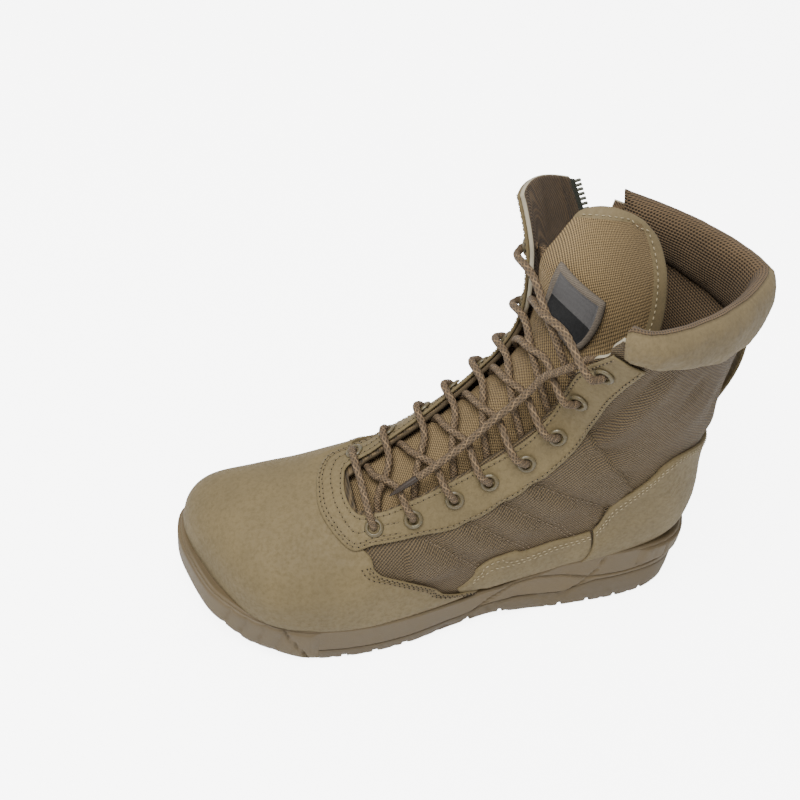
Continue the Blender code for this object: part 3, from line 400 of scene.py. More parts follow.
def sew(name, seams, finish, holes=True):
    """Rows of stitches along lists of points, with the needle's holes between them, joined in one piece."""
    whole = bmesh.new()
    for points in seams:
        row = bmesh.new()
        travelled, due = 0.0, STITCH
        for a, b in zip(points, points[1:]):
            span = (b - a).length
            while span > 0 and travelled + span >= due:
                middle = a.lerp(b, (due - travelled) / span)
                turn = (b - a).to_track_quat("X", "Z").to_matrix().to_4x4()
                turn.translation = middle
                made = bmesh.ops.create_icosphere(row, subdivisions=1, radius=1)["verts"]
                bmesh.ops.scale(row, vec=(STITCH / 2, THREAD, THREAD), verts=made)
                bmesh.ops.transform(row, matrix=turn, verts=made)
                if holes:
                    made = bmesh.ops.create_icosphere(row, subdivisions=1, radius=NEEDLE_HOLE)["verts"]
                    shift = turn.copy()
                    shift.translation = middle + (b - a).normalized() * (STITCH + STITCH_GAP) / 2
                    bmesh.ops.transform(row, matrix=shift, verts=made)
                    for face in {face for vert in made for face in vert.link_faces}:
                        face.material_index = 1
                due += STITCH + STITCH_GAP
            travelled += span
        data = bpy.data.meshes.new("row")
        row.to_mesh(data)
        row.free()
        whole.from_mesh(data)
        bpy.data.meshes.remove(data)
    return plain(name, whole, finish, FINISH["hole"])


# Materials

def linear(code):
    """Linear colour of an sRGB hex value."""
    parts = [int(code[k:k + 2], 16) / 255 for k in (0, 2, 4)]
    return tuple(c / 12.92 if c <= 0.04045 else ((c + 0.055) / 1.055) ** 2.4 for c in parts) + (1,)


def add_node(tree, kind, inputs=None, **settings):
    """Node with its settings, and its inputs set or linked."""
    made = tree.nodes.new(kind)
    for key, value in settings.items():
        setattr(made, key, value)
    for key, value in (inputs or {}).items():
        if isinstance(value, bpy.types.NodeSocket):
            tree.links.new(value, made.inputs[key])
        else:
            made.inputs[key].default_value = value
    return made


def start(name, roughness, metallic=0.0, sheen=0.0):
    """New material: its tree, shader, and object coordinates."""
    new = bpy.data.materials.new(name)
    new.use_nodes = True
    tree = new.node_tree
    shader = tree.nodes["Principled BSDF"]
    shader.inputs["Roughness"].default_value = roughness
    shader.inputs["Metallic"].default_value = metallic
    shader.inputs["Sheen Weight"].default_value = sheen
    where = add_node(tree, "ShaderNodeTexCoord")
    return new, tree, shader, where


def speckle(tree, vector, per_metre, detail=2.0, rough=0.5):
    return add_node(tree, "ShaderNodeTexNoise", {"Vector": vector, "Scale": per_metre, "Detail": detail,
                                                 "Roughness": rough}).outputs["Fac"]


def reckon(tree, operation, a, b=0.0, clamped=False):
    return add_node(tree, "ShaderNodeMath", {0: a, 1: b}, operation=operation, use_clamp=clamped).outputs[0]


def blend(tree, factor, a, b):
    return add_node(tree, "ShaderNodeMix", {0: factor, 6: a, 7: b}, data_type="RGBA").outputs[2]


def remap(tree, value, low, high, to_low=0.0, to_high=1.0):
    return add_node(tree, "ShaderNodeMapRange", {"Value": value, "From Min": low, "From Max": high,
                                                 "To Min": to_low, "To Max": to_high}).outputs[0]


def raise_surface(tree, shader, height, depth, before=None):
    inputs = {"Height": height, "Distance": depth, "Strength": 1.0}
    if before:
        inputs["Normal"] = before
    made = add_node(tree, "ShaderNodeBump", inputs).outputs[0]
    tree.links.new(made, shader.inputs["Normal"])
    return made


def shade(colour, factor):
    """A colour made lighter or darker."""
    return tuple(min(c * factor, 1) for c in colour[:3]) + (1,)


def nubuck(name, colour):
    """Nubuck, cow leather sanded on its grain side: matt and soft, with cloudy tone and fine pores."""
    new, tree, shader, where = start(name, 0.80, sheen=0.02)
    spot = where.outputs["Object"]
    cloud = speckle(tree, spot, 28, 4, 0.6)
    fine = speckle(tree, spot, 420, 3, 0.6)
    grain = speckle(tree, spot, 1500, 2, 0.6)
    tone = blend(tree, remap(tree, cloud, 0.35, 0.68), shade(colour, 0.92), shade(colour, 1.12))
    tone = blend(tree, remap(tree, fine, 0.45, 0.72, 0, 0.35), tone, shade(colour, 0.55))
    tree.links.new(tone, shader.inputs["Base Color"])
    tree.links.new(remap(tree, fine, 0.3, 0.7, 0.68, 0.88), shader.inputs["Roughness"])
    first = raise_surface(tree, shader, grain, 0.00010)
    raise_surface(tree, shader, fine, 0.00016, first)
    return new


def threads(tree, place, pitch, turn=0.0, upright=False):
    """Woven threads: two waves a pitch apart, turned by an angle, over UV, or upright over X and Z."""
    spun = add_node(tree, "ShaderNodeVectorRotate", {"Vector": place, "Angle": turn},
                    rotation_type="Y_AXIS" if upright else "Z_AXIS").outputs[0]
    parts = add_node(tree, "ShaderNodeSeparateXYZ", {0: spun})
    ways = []
    for k in (0, 2 if upright else 1):
        angle = reckon(tree, "MULTIPLY", parts.outputs[k], 2 * math.pi / pitch)
        ways.append(reckon(tree, "SINE", angle))
    return ways


def woven_nylon(name, colour, pitch, turn=0.35, upright=False):
    """Plain weave of thick nylon yarn, with a painted highlight where the yarns crown and painted shade
    between them.
    """
    new, tree, shader, where = start(name, 0.76)
    warp, weft = threads(tree, where.outputs["Object" if upright else "UV"], pitch, turn, upright)
    crown = reckon(tree, "MULTIPLY", warp, 0.7)
    crown = reckon(tree, "ADD", crown, reckon(tree, "MULTIPLY", weft, 0.3))
    uneven = speckle(tree, where.outputs["Object"], 900, 2)
    cloud = speckle(tree, where.outputs["Object"], 30, 3)
    # painted highlight on the yarns' crowns, painted shade in the dips between them
    tone = blend(tree, remap(tree, crown, -0.8, 0.8), shade(colour, 0.30), shade(colour, 1.75))
    tone = blend(tree, remap(tree, cloud, 0.35, 0.7, 0, 0.3), tone, shade(colour, 0.6))
    tree.links.new(tone, shader.inputs["Base Color"])
    mixed = reckon(tree, "ADD", crown, reckon(tree, "MULTIPLY", uneven, 0.8))
    raise_surface(tree, shader, mixed, 0.00034)
    return new


def mesh_lining(name, colour, cell=0.0021):
    """Spacer mesh lining: round holes in rows between soft yarns, the holes filled with painted shade."""
    new, tree, shader, where = start(name, 0.9, sheen=0.03)
    rows = threads(tree, where.outputs["UV"], cell * 1.2, 0.785)
    net = reckon(tree, "MULTIPLY", rows[0], rows[1])
    hole_shade_mask = remap(tree, net, 0.05, 0.6)
    # painted shade in the holes, the lighter yarn colour between them
    tone = blend(tree, hole_shade_mask, shade(colour, 1.1), shade(colour, 0.2))
    cloud = speckle(tree, where.outputs["Object"], 60, 3)
    tone = blend(tree, remap(tree, cloud, 0.4, 0.7, 0, 0.3), tone, shade(colour, 0.3))
    tree.links.new(tone, shader.inputs["Base Color"])
    raise_surface(tree, shader, reckon(tree, "MULTIPLY", net, -1.0), 0.00035)
    return new


def moulded_rubber(name, colour):
    """Rubber moulded against a stippled steel tool: matt, with a fine even grit."""
    new, tree, shader, where = start(name, 0.62)
    spot = where.outputs["Object"]
    grit = speckle(tree, spot, 1300, 1)
    cloud = speckle(tree, spot, 22, 4, 0.6)
    tone = blend(tree, remap(tree, cloud, 0.35, 0.7), shade(colour, 0.9), shade(colour, 1.2))
    tree.links.new(tone, shader.inputs["Base Color"])
    tree.links.new(remap(tree, cloud, 0.3, 0.7, 0.52, 0.72), shader.inputs["Roughness"])
    raise_surface(tree, shader, grit, 0.00009)
    return new


STRANDS, STRAND_PITCH = 5, 0.0020       # strands each way round the lace, and their pitch along it
FLECKS, FLECK_PITCH = 3, 0.0063         # the same for the pale flecks, pale strands that also carry a painted highlight


def braid(name, colour):
    """Round braided polyester lace: two sets of strands that cross, with painted shade between them, and pale
    flecks along it that are partly pale strands and partly a painted highlight on their crowns.
    """
    new, tree, shader, where = start(name, 0.7)
    parts = add_node(tree, "ShaderNodeSeparateXYZ", {0: where.outputs["UV"]})
    around = reckon(tree, "MULTIPLY", parts.outputs[1], 2 * math.pi * STRANDS)
    along = reckon(tree, "MULTIPLY", parts.outputs[0], 2 * math.pi / STRAND_PITCH)
    left = reckon(tree, "SINE", reckon(tree, "ADD", along, around))
    right = reckon(tree, "SINE", reckon(tree, "SUBTRACT", along, around))
    over = reckon(tree, "MAXIMUM", left, right)
    fleck_around = reckon(tree, "MULTIPLY", parts.outputs[1], 2 * math.pi * FLECKS)
    fleck_along = reckon(tree, "MULTIPLY", parts.outputs[0], 2 * math.pi / FLECK_PITCH)
    fleck = reckon(tree, "SINE", reckon(tree, "ADD", fleck_around, fleck_along))
    # darker between the strands: painted shade
    tone = blend(tree, remap(tree, over, -0.4, 0.9), shade(colour, 0.5), colour)
    # pale flecks only on the strands' crowns: pale strands together with a painted highlight
    pale = reckon(tree, "MULTIPLY", remap(tree, fleck, 0.3, 0.8), remap(tree, over, 0.3, 0.9))
    tone = blend(tree, pale, tone, shade(colour, 1.8))
    tree.links.new(tone, shader.inputs["Base Color"])
    raise_surface(tree, shader, over, 0.00025)
    return new


def painted_brass(name, paint, bare):
    """Eyelet pressed from brass and painted sand, rubbed to bare metal in scattered patches."""
    new, tree, shader, where = start(name, 0.42)
    rubbed = remap(tree, speckle(tree, where.outputs["Object"], 500, 4, 0.7), 0.52, 0.66)
    tree.links.new(blend(tree, rubbed, linear(paint), linear(bare)), shader.inputs["Base Color"])
    tree.links.new(remap(tree, rubbed, 0, 1, 0, 0.8), shader.inputs["Metallic"])
    raise_surface(tree, shader, rubbed, -0.00004)
    return new


def plain_cloth(name, colour, dark, pitch=0.0008):
    """Tightly woven tape."""
    new, tree, shader, where = start(name, 0.8)
    warp, weft = threads(tree, where.outputs["UV"], pitch)
    crown = reckon(tree, "MULTIPLY", warp, weft)
    tone = blend(tree, remap(tree, crown, -0.8, 0.8), linear(dark), linear(colour))
    tree.links.new(tone, shader.inputs["Base Color"])
    raise_surface(tree, shader, crown, 0.00012)
    return new


def moulded(name, colour, roughness=0.4, grit=1200, depth=0.00003):
    """Moulded nylon or acetal: smooth, with a slight satin."""
    new, tree, shader, where = start(name, roughness)
    rough = speckle(tree, where.outputs["Object"], grit, 2)
    tone = blend(tree, remap(tree, rough, 0.3, 0.7, 0, 0.2), linear(colour), linear("000000"))
    tree.links.new(tone, shader.inputs["Base Color"])
    raise_surface(tree, shader, rough, depth)
    return new


def flap_edge(name, low, high):
    """Cut edge of the padded cloth: sewn over and dark low down, pale raw foam up at the flaps' ends."""
    new, tree, shader, where = start(name, 0.9)
    spot = where.outputs["Object"]
    height = add_node(tree, "ShaderNodeSeparateXYZ", {0: spot}).outputs[2]
    fuzzy = reckon(tree, "ADD", height, reckon(tree, "MULTIPLY", speckle(tree, spot, 200), 0.01))
    tree.links.new(blend(tree, remap(tree, fuzzy, 0.186, 0.196), low, high), shader.inputs["Base Color"])
    raise_surface(tree, shader, speckle(tree, spot, 1500), 0.00012)
    return new


def deep_shade(name):
    """The dark inside a hole."""
    new, tree, shader, where = start(name, 0.95)
    tone = blend(tree, speckle(tree, where.outputs["Object"], 600), linear("0B0906"), linear("171109"))
    tree.links.new(tone, shader.inputs["Base Color"])
    return new


def finishes(looks):
    leather, soft, nylon, lining, rubber, laces = (
        tuple(getattr(looks, name)) for name in ("leather", "collar", "nylon", "lining", "rubber", "laces"))
    return {
        "nubuck": nubuck("Nubuck leather", leather),
        "collar": nubuck("Soft nubuck", soft),
        "edge": flap_edge("Cut edge of the flaps", shade(nylon, 0.7), linear("9C937E")),
        "nylon": woven_nylon("Woven nylon", nylon, looks.yarn * 1.35, -0.75, True),
        "twill": woven_nylon("Nylon twill", shade(nylon, 2.2), looks.yarn * 1.2, 0.9),
        "lining": mesh_lining("Spacer mesh", lining),
        "rubber": moulded_rubber("Moulded rubber", rubber),
        "tread": moulded_rubber("Tread rubber", shade(rubber, 0.8)),
        "lace": braid("Braided lace", laces),
        "brass": painted_brass("Painted brass", "574C33", "6E6A58"),
        "tape": plain_cloth("Zip tape", "3A3D33", "1C1E18"),
        "teeth": moulded("Moulded zip teeth", "45463A", 0.45),
        "slider": painted_brass("Painted zinc slider", "4A4B3C", "6B6C60"),
        "webbing": plain_cloth("Nylon webbing", "6B5A42", "41351F", 0.0013),
        "thread": plain_cloth("Pale polyester thread", "A89A7C", "7F7359", 0.0006),
        "leather_thread": plain_cloth("Polyester thread in the leather's colour", "7E6E52", "5A4D38", 0.0006),
        "rib_thread": plain_cloth("Brown polyester thread", "877660", "54483A", 0.0006),
        "patch_dark": plain_cloth("Black satin weave", "0E0E0F", "050505", 0.0007),
        "patch_grey": plain_cloth("Grey satin weave", "5D5B5A", "42403F", 0.0007),
        "patch_edge": plain_cloth("Patch border", "6F6456", "474037", 0.0009),
        "tip": moulded("Moulded lace tip", "2E2216", 0.5),
        "hole": deep_shade("Shade in a hole"),
    }


FINISH = {}


# Sole

OUTLINE = [
    # along  across
    (0.000, 0.03), (0.012, -0.16), (0.060, -0.29), (0.155, -0.350), (0.300, -0.365), (0.430, -0.39),
    (0.560, -0.455), (0.680, -0.500), (0.790, -0.485), (0.880, -0.395), (0.950, -0.23), (0.990, 0.00),
    (1.000, 0.20), (0.975, 0.36), (0.900, 0.455), (0.790, 0.470), (0.680, 0.440), (0.560, 0.370),
    (0.430, 0.31), (0.300, 0.315), (0.155, 0.330), (0.050, 0.26),
]
SIDE = [
    # along tread split groove bite
    (0.00, 0.20, 0.52, 0.62, 0.93), (0.04, 0.02, 0.50, 0.60, 0.98), (0.10, 0.00, 0.50, 0.60, 1.00),
    (0.20, 0.00, 0.48, 0.59, 1.00), (0.28, 0.00, 0.33, 0.66, 0.92), (0.35, 0.05, 0.38, 0.62, 0.78),
    (0.42, 0.11, 0.37, 0.50, 0.66), (0.50, 0.09, 0.26, 0.38, 0.60), (0.60, 0.00, 0.18, 0.34, 0.57),
    (0.78, 0.00, 0.19, 0.36, 0.59), (0.88, 0.12, 0.32, 0.48, 0.66), (0.95, 0.26, 0.46, 0.60, 0.75),
    (1.00, 0.42, 0.60, 0.72, 0.86),
]
TOE_T = 12 / 22         # share once round the outline where the toe's tip is
LUG_PLACES = (0.09, 0.15, 0.21, 0.27, 0.40, 0.47, 0.60, 0.66, 0.72, 0.78, 0.84, 0.90, 0.95)
LUG_GROOVE = 0.0034
GROOVE_WALL = 0.0002    # half the run of a groove's wall along the sole
# The fine ripples of the tread between its grooves
FINE_PITCH, FINE_SLANT, FINE_DEEP = 0.009, 40, 0.0009
ROUND_LENGTH = 0.78     # about the outline's length once round
# The cup's rolled lip: how far below its top and how far out
LIP = ((0.0003, -0.0022), (0.0006, -0.0052), (0.0010, -0.0086), (0.0040, -0.0092))
BUMPER_OUT = 0.0018
# Grooves moulded in the sole's side: share of the length and height as a share of CUP
UPPER_GROOVE = [(0.00, 0.72), (0.03, 0.66), (0.086, 0.60), (0.146, 0.565), (0.225, 0.575), (0.288, 0.70),
                (0.340, 0.745), (0.385, 0.68), (0.42, 0.53), (0.455, 0.34), (0.49, 0.20), (0.53, 0.13)]
LOWER_GROOVE = [(0.202, 0.95), (0.212, 0.72), (0.235, 0.48), (0.265, 0.32), (0.295, 0.29), (0.335, 0.37),
                (0.375, 0.40), (0.41, 0.36), (0.445, 0.24), (0.48, 0.13)]


def column(table, share, index):
    return between([(row[0], row[index]) for row in table], share)


def outline(t):
    """Point of the sole's outline, t from 0 to 1 once round from the heel."""
    count = len(OUTLINE)
    i = int(t * count) % count
    f = t * count - int(t * count)
    p0, p1, p2, p3 = (OUTLINE[(i + k) % count] for k in (-1, 0, 1, 2))
    along, across = (b + 0.5 * f * (c - a + f * (2 * a - 5 * b + 4 * c - d + f * (3 * (b - c) + d - a)))
                     for a, b, c, d in zip(p0, p1, p2, p3))
    return Vector((SOLE_HEEL_X - along * SOLE_LENGTH - CENTRE.x, across * SOLE_WIDTH - CENTRE.y, 0))


def along_sole(x):
    return clamp((SOLE_HEEL_X - CENTRE.x - x) / SOLE_LENGTH)


def rim_height(x):
    """Height where the sole's side meets the upper."""
    return column(SIDE, along_sole(x), 4) * CUP


def sole_edge(t, out):
    """Point of the outline, moved outwards."""
    step = outline((t + 0.004) % 1) - outline((t - 0.004) % 1)
    return outline(t % 1) + Vector((step.y, -step.x, 0)).normalized() * -out


def outline_at(x, side):
    """Share once round the outline at a length x, on the outer (-1) or inner (1) side."""
    low, high = (0.0, TOE_T) if side < 0 else (TOE_T, 1.0)
    for _ in range(26):
        middle = (low + high) / 2
        further = outline(middle).x > x if side < 0 else outline(middle).x < x
        low, high = (middle, high) if further else (low, middle)
    return (low + high) / 2


def groove_dip(x, z, lines=(UPPER_GROOVE, LOWER_GROOVE), wide=0.0006, deep=0.0013):
    """How deep the moulded grooves are at a place on the sole's side."""
    share, deepest = along_sole(x), 0.0
    for line in lines:
        for (s0, h0), (s1, h1) in zip(line, line[1:]):
            if not min(s0, s1) - 0.02 < share < max(s0, s1) + 0.02:
                continue
            ax, az, bx, bz = s0 * SOLE_LENGTH, h0 * CUP, s1 * SOLE_LENGTH, h1 * CUP
            px, pz = share * SOLE_LENGTH, z
            t = clamp(((px - ax) * (bx - ax) + (pz - az) * (bz - az)) / ((bx - ax) ** 2 + (bz - az) ** 2))
            far = math.hypot(px - ax - t * (bx - ax), pz - az - t * (bz - az))
            deepest = max(deepest, deep * math.exp(-(far / wide) ** 2))
    return deepest


def tread_depth(x, y):
    """Height of the tread over its level, in the grooves across it."""
    share = along_sole(x)
    near = min(abs(share - place) * SOLE_LENGTH for place in LUG_PLACES)
    deep = LUG * soft_step((LUG_GROOVE / 2 + GROOVE_WALL - near) / (2 * GROOVE_WALL))
    wave = math.sin(share * SOLE_LENGTH * 2 * math.pi / FINE_PITCH + abs(y) * FINE_SLANT)
    return max(deep, FINE_DEEP * soft_step((wave - 0.86) / 0.1))


def sole_stations():
    """Lengths along the sole where its grid has a row: closer at the ends, and at each groove's walls."""
    ends = (outline(0).x, outline(TOE_T).x)
    shares = [(1 - math.cos(math.pi * k / 180)) / 2 for k in range(181)]
    for place in LUG_PLACES:
        shares += [place + side * (LUG_GROOVE / 2 + step) / SOLE_LENGTH
                   for side in (-1, 1) for step in (-GROOVE_WALL, GROOVE_WALL)]
    return [ends[0] + (ends[1] - ends[0]) * share for share in sorted(shares)]


def side_places():
    """Shares once round the outline for the sole's columns: up the outer side, down the inner side."""
    inner_side = [outline_at(x, 1) for x in STATIONS[1:-1]]
    return [0.0] + [outline_at(x, -1) for x in STATIONS[1:-1]] + [TOE_T] + inner_side[::-1] + [1.0]


STATIONS = sole_stations()
ROUND = side_places()


def sole_side(t, z, out, grooves=True):
    """Point of the sole's side at a height, with its grooves."""
    x = outline(t % 1).x
    point = sole_edge(t, out - (groove_dip(x, z) if grooves else 0))
    point.z = z
    return point


def build_outsole():
    """Tread: side, rounded lower edge and lugs in one closed form."""
    half = len(STATIONS) - 1
    rows = ((0.0, -0.0022), (0.05, -0.0010), (0.14, -0.0003), (0.4, 0.0), (0.7, 0.0), (0.92, 0.0),
            (0.98, -0.0003), (1.0, -0.0011), (1.0, -0.0060))

    def wall(j, i):
        t = ROUND[j]
        place = outline(t % 1)
        low = column(SIDE, along_sole(place.x), 1) * CUP
        low += tread_depth(place.x, place.y) if i < 3 else 0
        high = column(SIDE, along_sole(place.x), 2) * CUP
        share, out = rows[i]
        return sole_side(t, low + (high - low) * share, out)

    def tread(j, i):
        outer, inner = ROUND[i], ROUND[2 * half - i]
        a, b = sole_edge(outer, rows[0][1]), sole_edge(inner, rows[0][1])
        point = a.lerp(b, j / 24)
        edges = j in (0, 24)
        flat = outline(outer % 1).lerp(outline(inner % 1), j / 24) if edges else point
        point.z = column(SIDE, along_sole(STATIONS[i]), 1) * CUP + tread_depth(STATIONS[i], flat.y)
        return point

    mesh = grid_form(wall, len(ROUND) - 1, len(rows) - 1)
    under = grid_form(tread, 24, half)
    data = bpy.data.meshes.new("tread")
    under.to_mesh(data)
    mesh.from_mesh(data)
    bpy.data.meshes.remove(data)
    bmesh.ops.remove_doubles(mesh, verts=mesh.verts, dist=2e-5)
    bmesh.ops.recalc_face_normals(mesh, faces=mesh.faces)
    piece = plain("tread_sole", mesh, FINISH["tread"])
    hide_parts("outsole")


def build_midsole():
    """Side wall of the cup, with its moulded grooves and rolled lip."""
    tall = 64

    def place(j, i):
        t = ROUND[j]
        x = outline(t % 1).x
        low = column(SIDE, along_sole(x), 2) * CUP + GAP
        high = rim_height(x)
        if i > tall:
            drop, inwards = LIP[i - tall - 1]
            return sole_side(t, high - drop, inwards, False)
        share = i / tall
        z = low + (high - low) * share
        roll = 0.0010 * max(0, 1 - (high - z) / 0.0014) ** 2 + 0.0007 * max(0, 1 - (z - low) / 0.0009) ** 2
        return sole_side(t, z, -roll)

    mesh = grid_form(place, len(ROUND) - 1, tall + len(LIP), flip=False)
    piece = plain("cup_sole", mesh, FINISH["rubber"])
    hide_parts("midsole")


def band(name, node, start, end, low, high, notches):
    """Raised band on the sole's side, rounded along both edges, with scallops and notches in its face."""
    count = max(int(abs(end - start) * 420), 40)

    def place(j, i):
        t = start + (end - start) * i / count
        x = outline(t % 1).x
        share = along_sole(x)
        bottom, top = low(share), high(share)
        across = (-0.02, 0.0, 0.03, 0.08, 0.2, 0.35, 0.5, 0.65, 0.8, 0.92, 0.97, 1.0, 1.02)[j]
        stand = (-0.0015, 0.0004, 0.75, 0.95, 1, 1, 1, 1, 1, 0.95, 0.75, 0.0004, -0.0015)[j]
        end_roll = soft_step(min(i, count - i) / 3)
        z = bottom + (top - bottom) * clamp(across)
        dip = 0.0
        for at, up, lean, wide, deep, lowest in notches:
            aside = (t - at) * ROUND_LENGTH + (z - up) * lean
            dip += deep * math.exp(-(aside / wide) ** 2) * soft_step((z - lowest) / 0.002 + 1)
        height = stand if stand < 0.01 else BUMPER_OUT * stand * end_roll - dip
        point = sole_edge(t, max(height, -0.0012))
        point.z = z
        return point

    piece = plain(name, grid_form(place, 12, count), FINISH["rubber"])
    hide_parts(node)


def level(index, raise_by=0.0):
    return lambda share: column(SIDE, share, index) * CUP + raise_by


def build_bumpers():
    notch = (0.386, 0.0276, -0.75, 0.0008, 0.0022, 0.0)
    scallops = [(0.392 + 0.018 * k, 0.010, 0.4, 0.0014, 0.0011, 0.0) for k in range(4)]
    band("toe_guard", "toe_bumper", 0.355, 0.665, level(1, 0.0028), level(4, -0.0016), [notch] + scallops)
    dashes = [(-0.095 + 0.0135 * k, 0.036, 0.0, 0.0006, 0.0010, 0.0) for k in range(16)]
    band("heel_guard", "heel_bumper", -0.105, 0.125, level(3, 0.0035), level(4, -0.0020), dashes)


# Upper and its overlays

THROAT_OUTER = [(0.00, -0.24), (0.10, -0.20), (0.215, -0.125), (0.26, -0.170), (0.32, -0.190), (0.43, -0.215),
                (0.50, -0.232), (0.67, -0.232), (0.80, -0.290), (0.90, -0.350), (1.00, -0.400)]
THROAT_INNER = [(0.00, 0.16), (0.10, 0.08), (0.215, 0.000), (0.26, 0.035), (0.32, 0.060), (0.43, 0.095),
                (0.50, 0.120), (0.67, 0.155), (0.80, 0.180), (1.00, 0.220)]
ZIP_FRONT = [(0.00, 0.50), (0.80, 0.55), (0.87, 0.55), (1.00, 0.53)]
ZIP_BACK = [(0.00, 0.54), (0.80, 0.59), (0.87, 0.59), (1.00, 0.63)]
HEM = 0.86
THROAT_START = 0.215
COLLAR_U = 0.91
FLAP_V = -0.43
ZIP_OPEN = 0.875
# The vamp's edge: share of the way from the throat's line to the hem, and u. Between the wings it lies
# under the eyestay.
VAMP_EDGE = [(-1.00, 0.376), (-0.868, 0.369), (-0.77, 0.362), (-0.707, 0.350), (-0.66, 0.318),
             (-0.594, 0.275), (-0.543, 0.240), (-0.49, 0.227), (-0.44, 0.226), (-0.36, 0.212), (-0.20, 0.190),
             (-0.05, 0.186), (0.10, 0.207), (0.21, 0.229), (0.30, 0.252), (0.38, 0.290), (0.45, 0.328),
             (0.62, 0.356), (1.00, 0.376)]
# The eyestay's outer edge round its front, in the same way
APRON = [(-0.50, 0.240), (-0.455, 0.230), (-0.414, 0.193), (-0.20, 0.166), (-0.106, 0.162), (0.05, 0.172),
         (0.195, 0.190), (0.247, 0.235), (0.316, 0.300), (0.36, 0.340)]
DIVE = 0.0014           # how far the vamp goes down to pass under the eyestay
EYESTAY = [
    # inside u, v   outside u, v
    (0.906, -0.362, 0.900, -0.485), (0.850, -0.322, 0.820, -0.430), (0.760, -0.272, 0.730, -0.385),
    (0.670, -0.240, 0.650, -0.355), (0.570, -0.238, 0.560, -0.347), (0.500, -0.238, 0.490, -0.350),
    (0.430, -0.222, 0.425, -0.347), (0.370, -0.207, 0.360, -0.337), (0.300, -0.187, 0.300, -0.300),
    (0.250, -0.168, 0.235, -0.260), (0.218, -0.138, 0.193, -0.235), (0.207, -0.060, 0.162, -0.060),
    (0.218, 0.015, 0.190, 0.110), (0.250, 0.035, 0.235, 0.140), (0.300, 0.058, 0.300, 0.180),
    (0.370, 0.083, 0.360, 0.217), (0.430, 0.102, 0.425, 0.230), (0.500, 0.124, 0.490, 0.240),
    (0.570, 0.140, 0.560, 0.250), (0.670, 0.160, 0.650, 0.280), (0.760, 0.178, 0.730, 0.330),
    (0.850, 0.194, 0.820, 0.400), (0.925, 0.208, 0.910, 0.490), (0.996, 0.224, 0.996, 0.518),
]
COUNTER_OUTER = [(0.533, 0.521), (0.577, 0.508), (0.645, 0.545), (0.705, 0.620), (0.752, 0.760),
                 (0.768, 1.000)]
COUNTER_INNER = [(0.545, 0.640), (0.590, 0.625), (0.645, 0.650), (0.700, 0.720), (0.745, 0.830),
                 (0.768, 1.000)]
COUNTER_FRONT = 0.493
# The rand's upper edge, from where it goes under the vamp's wing to where it goes under the counter
RAND_TOP = [(0.340, 0.530), (0.387, 0.490), (0.433, 0.500), (0.481, 0.507), (0.528, 0.523)]
RAND_START = 0.362
TUCK = -0.003           # how far the overlays run down behind the sole's lip
# How deep the walls of the vamp and the rands, and of the counter, go down into the cloth
LEATHER_DEEP, COUNTER_DEEP = 0.0030, 0.0040

UPPER_LINES = (8, 34, 14, 10, 26, 3, 18, 8)


def search(test, low, high):
    """Where test turns from true to false."""
    for _ in range(20):
        middle = (low + high) / 2
        low, high = (middle, high) if test(middle) else (low, middle)
    return low


def above_rim(u, v):
    point = skin(u, v)
    return point.z > rim_height(point.x) + TUCK


def hem(u, side):
    """v where the upper goes behind the sole's lip, on the outer (-1) or inner (1) side."""
    return side * search(lambda v: above_rim(u, side * v), 0.3, 1.0)


def upper_v(u):
    lines = (-1, -HEM, FLAP_V, between(THROAT_OUTER, u), between(THROAT_INNER, u), between(ZIP_FRONT, u),
             between(ZIP_BACK, u), HEM, 1)
    places = [lines[0]]
    for low, high, cells in zip(lines, lines[1:], UPPER_LINES):
        places += [low + (high - low) * (k + 1) / cells for k in range(cells)]
    return places


def build_upper():
    """Woven wall of the upper, with its mesh lining inside and the raw edges of the flaps."""
    top = 0.975
    marks = [0.0, THROAT_START, ZIP_OPEN, COLLAR_U, top, 1.0]
    counts = [22, 96, 8, 8, 3]
    rows = [0.0]
    for low, high, count in zip(marks, marks[1:], counts):
        rows += [low + (high - low) * ((k + 1) / count) ** (1.6 if low == 0 else 1) for k in range(count)]
    lines = [upper_v(u) for u in rows]
    steps = [sum(UPPER_LINES[:k]) for k in range(len(UPPER_LINES) + 1)]

    def keep(j, i):
        u = (rows[i] + rows[i + 1]) / 2
        if u > THROAT_START and steps[3] <= j < steps[4]:
            return False
        if u > ZIP_OPEN and steps[5] <= j < steps[6]:
            return False
        return not (u > top and (j < steps[3] or j >= steps[6]))

    def place(j, i):
        return lifted(rows[i], lines[i][j], relief(rows[i], lines[i][j]))

    mesh = grid_form(place, sum(UPPER_LINES), len(rows) - 1, keep=keep)
    piece = plain("woven_upper", mesh, FINISH["nylon"], FINISH["lining"], FINISH["edge"])
    thicken(piece, WALL, rim=2, inner=1)
    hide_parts("upper")


def vamp_top(u, share):
    """Height of the vamp's face: lower towards its wings' edges, and under the eyestay."""
    under = soft_step((share + 0.52) / 0.06) * soft_step((0.37 - share) / 0.06)
    dive = DIVE * under * soft_step((u - curve(APRON, share) + 0.014) / 0.018)
    wing = 0.0007 * (1 - under) * soft_step((u / curve(VAMP_EDGE, share) - 0.85) / 0.15)
    return LAY + 2 * GAP + LEATHER - dive - wing


def build_vamp():
    """Plain leather toe with its two wings."""
    columns, rows = 160, 58
    fars = (0.0, *((k + 1) / rows for k in range(rows - 1)), 0.992, 0.997, 1.0)
    last = len(fars) - 1

    def place(j, i):
        share = -1 + 2 * j / columns
        u = curve(VAMP_EDGE, share) * fars[i] ** 1.6
        drop = (0.0008, 0.0003)[last - i] if i > last - 2 else 0
        v = abs(share) * hem(u, -1 if share < 0 else 1)
        return lifted(u, v, vamp_top(u, share) - drop)

    piece = thicken(plain("leather_vamp", grid_form(place, columns, last), FINISH["nubuck"]), LEATHER_DEEP)
    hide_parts("vamp")


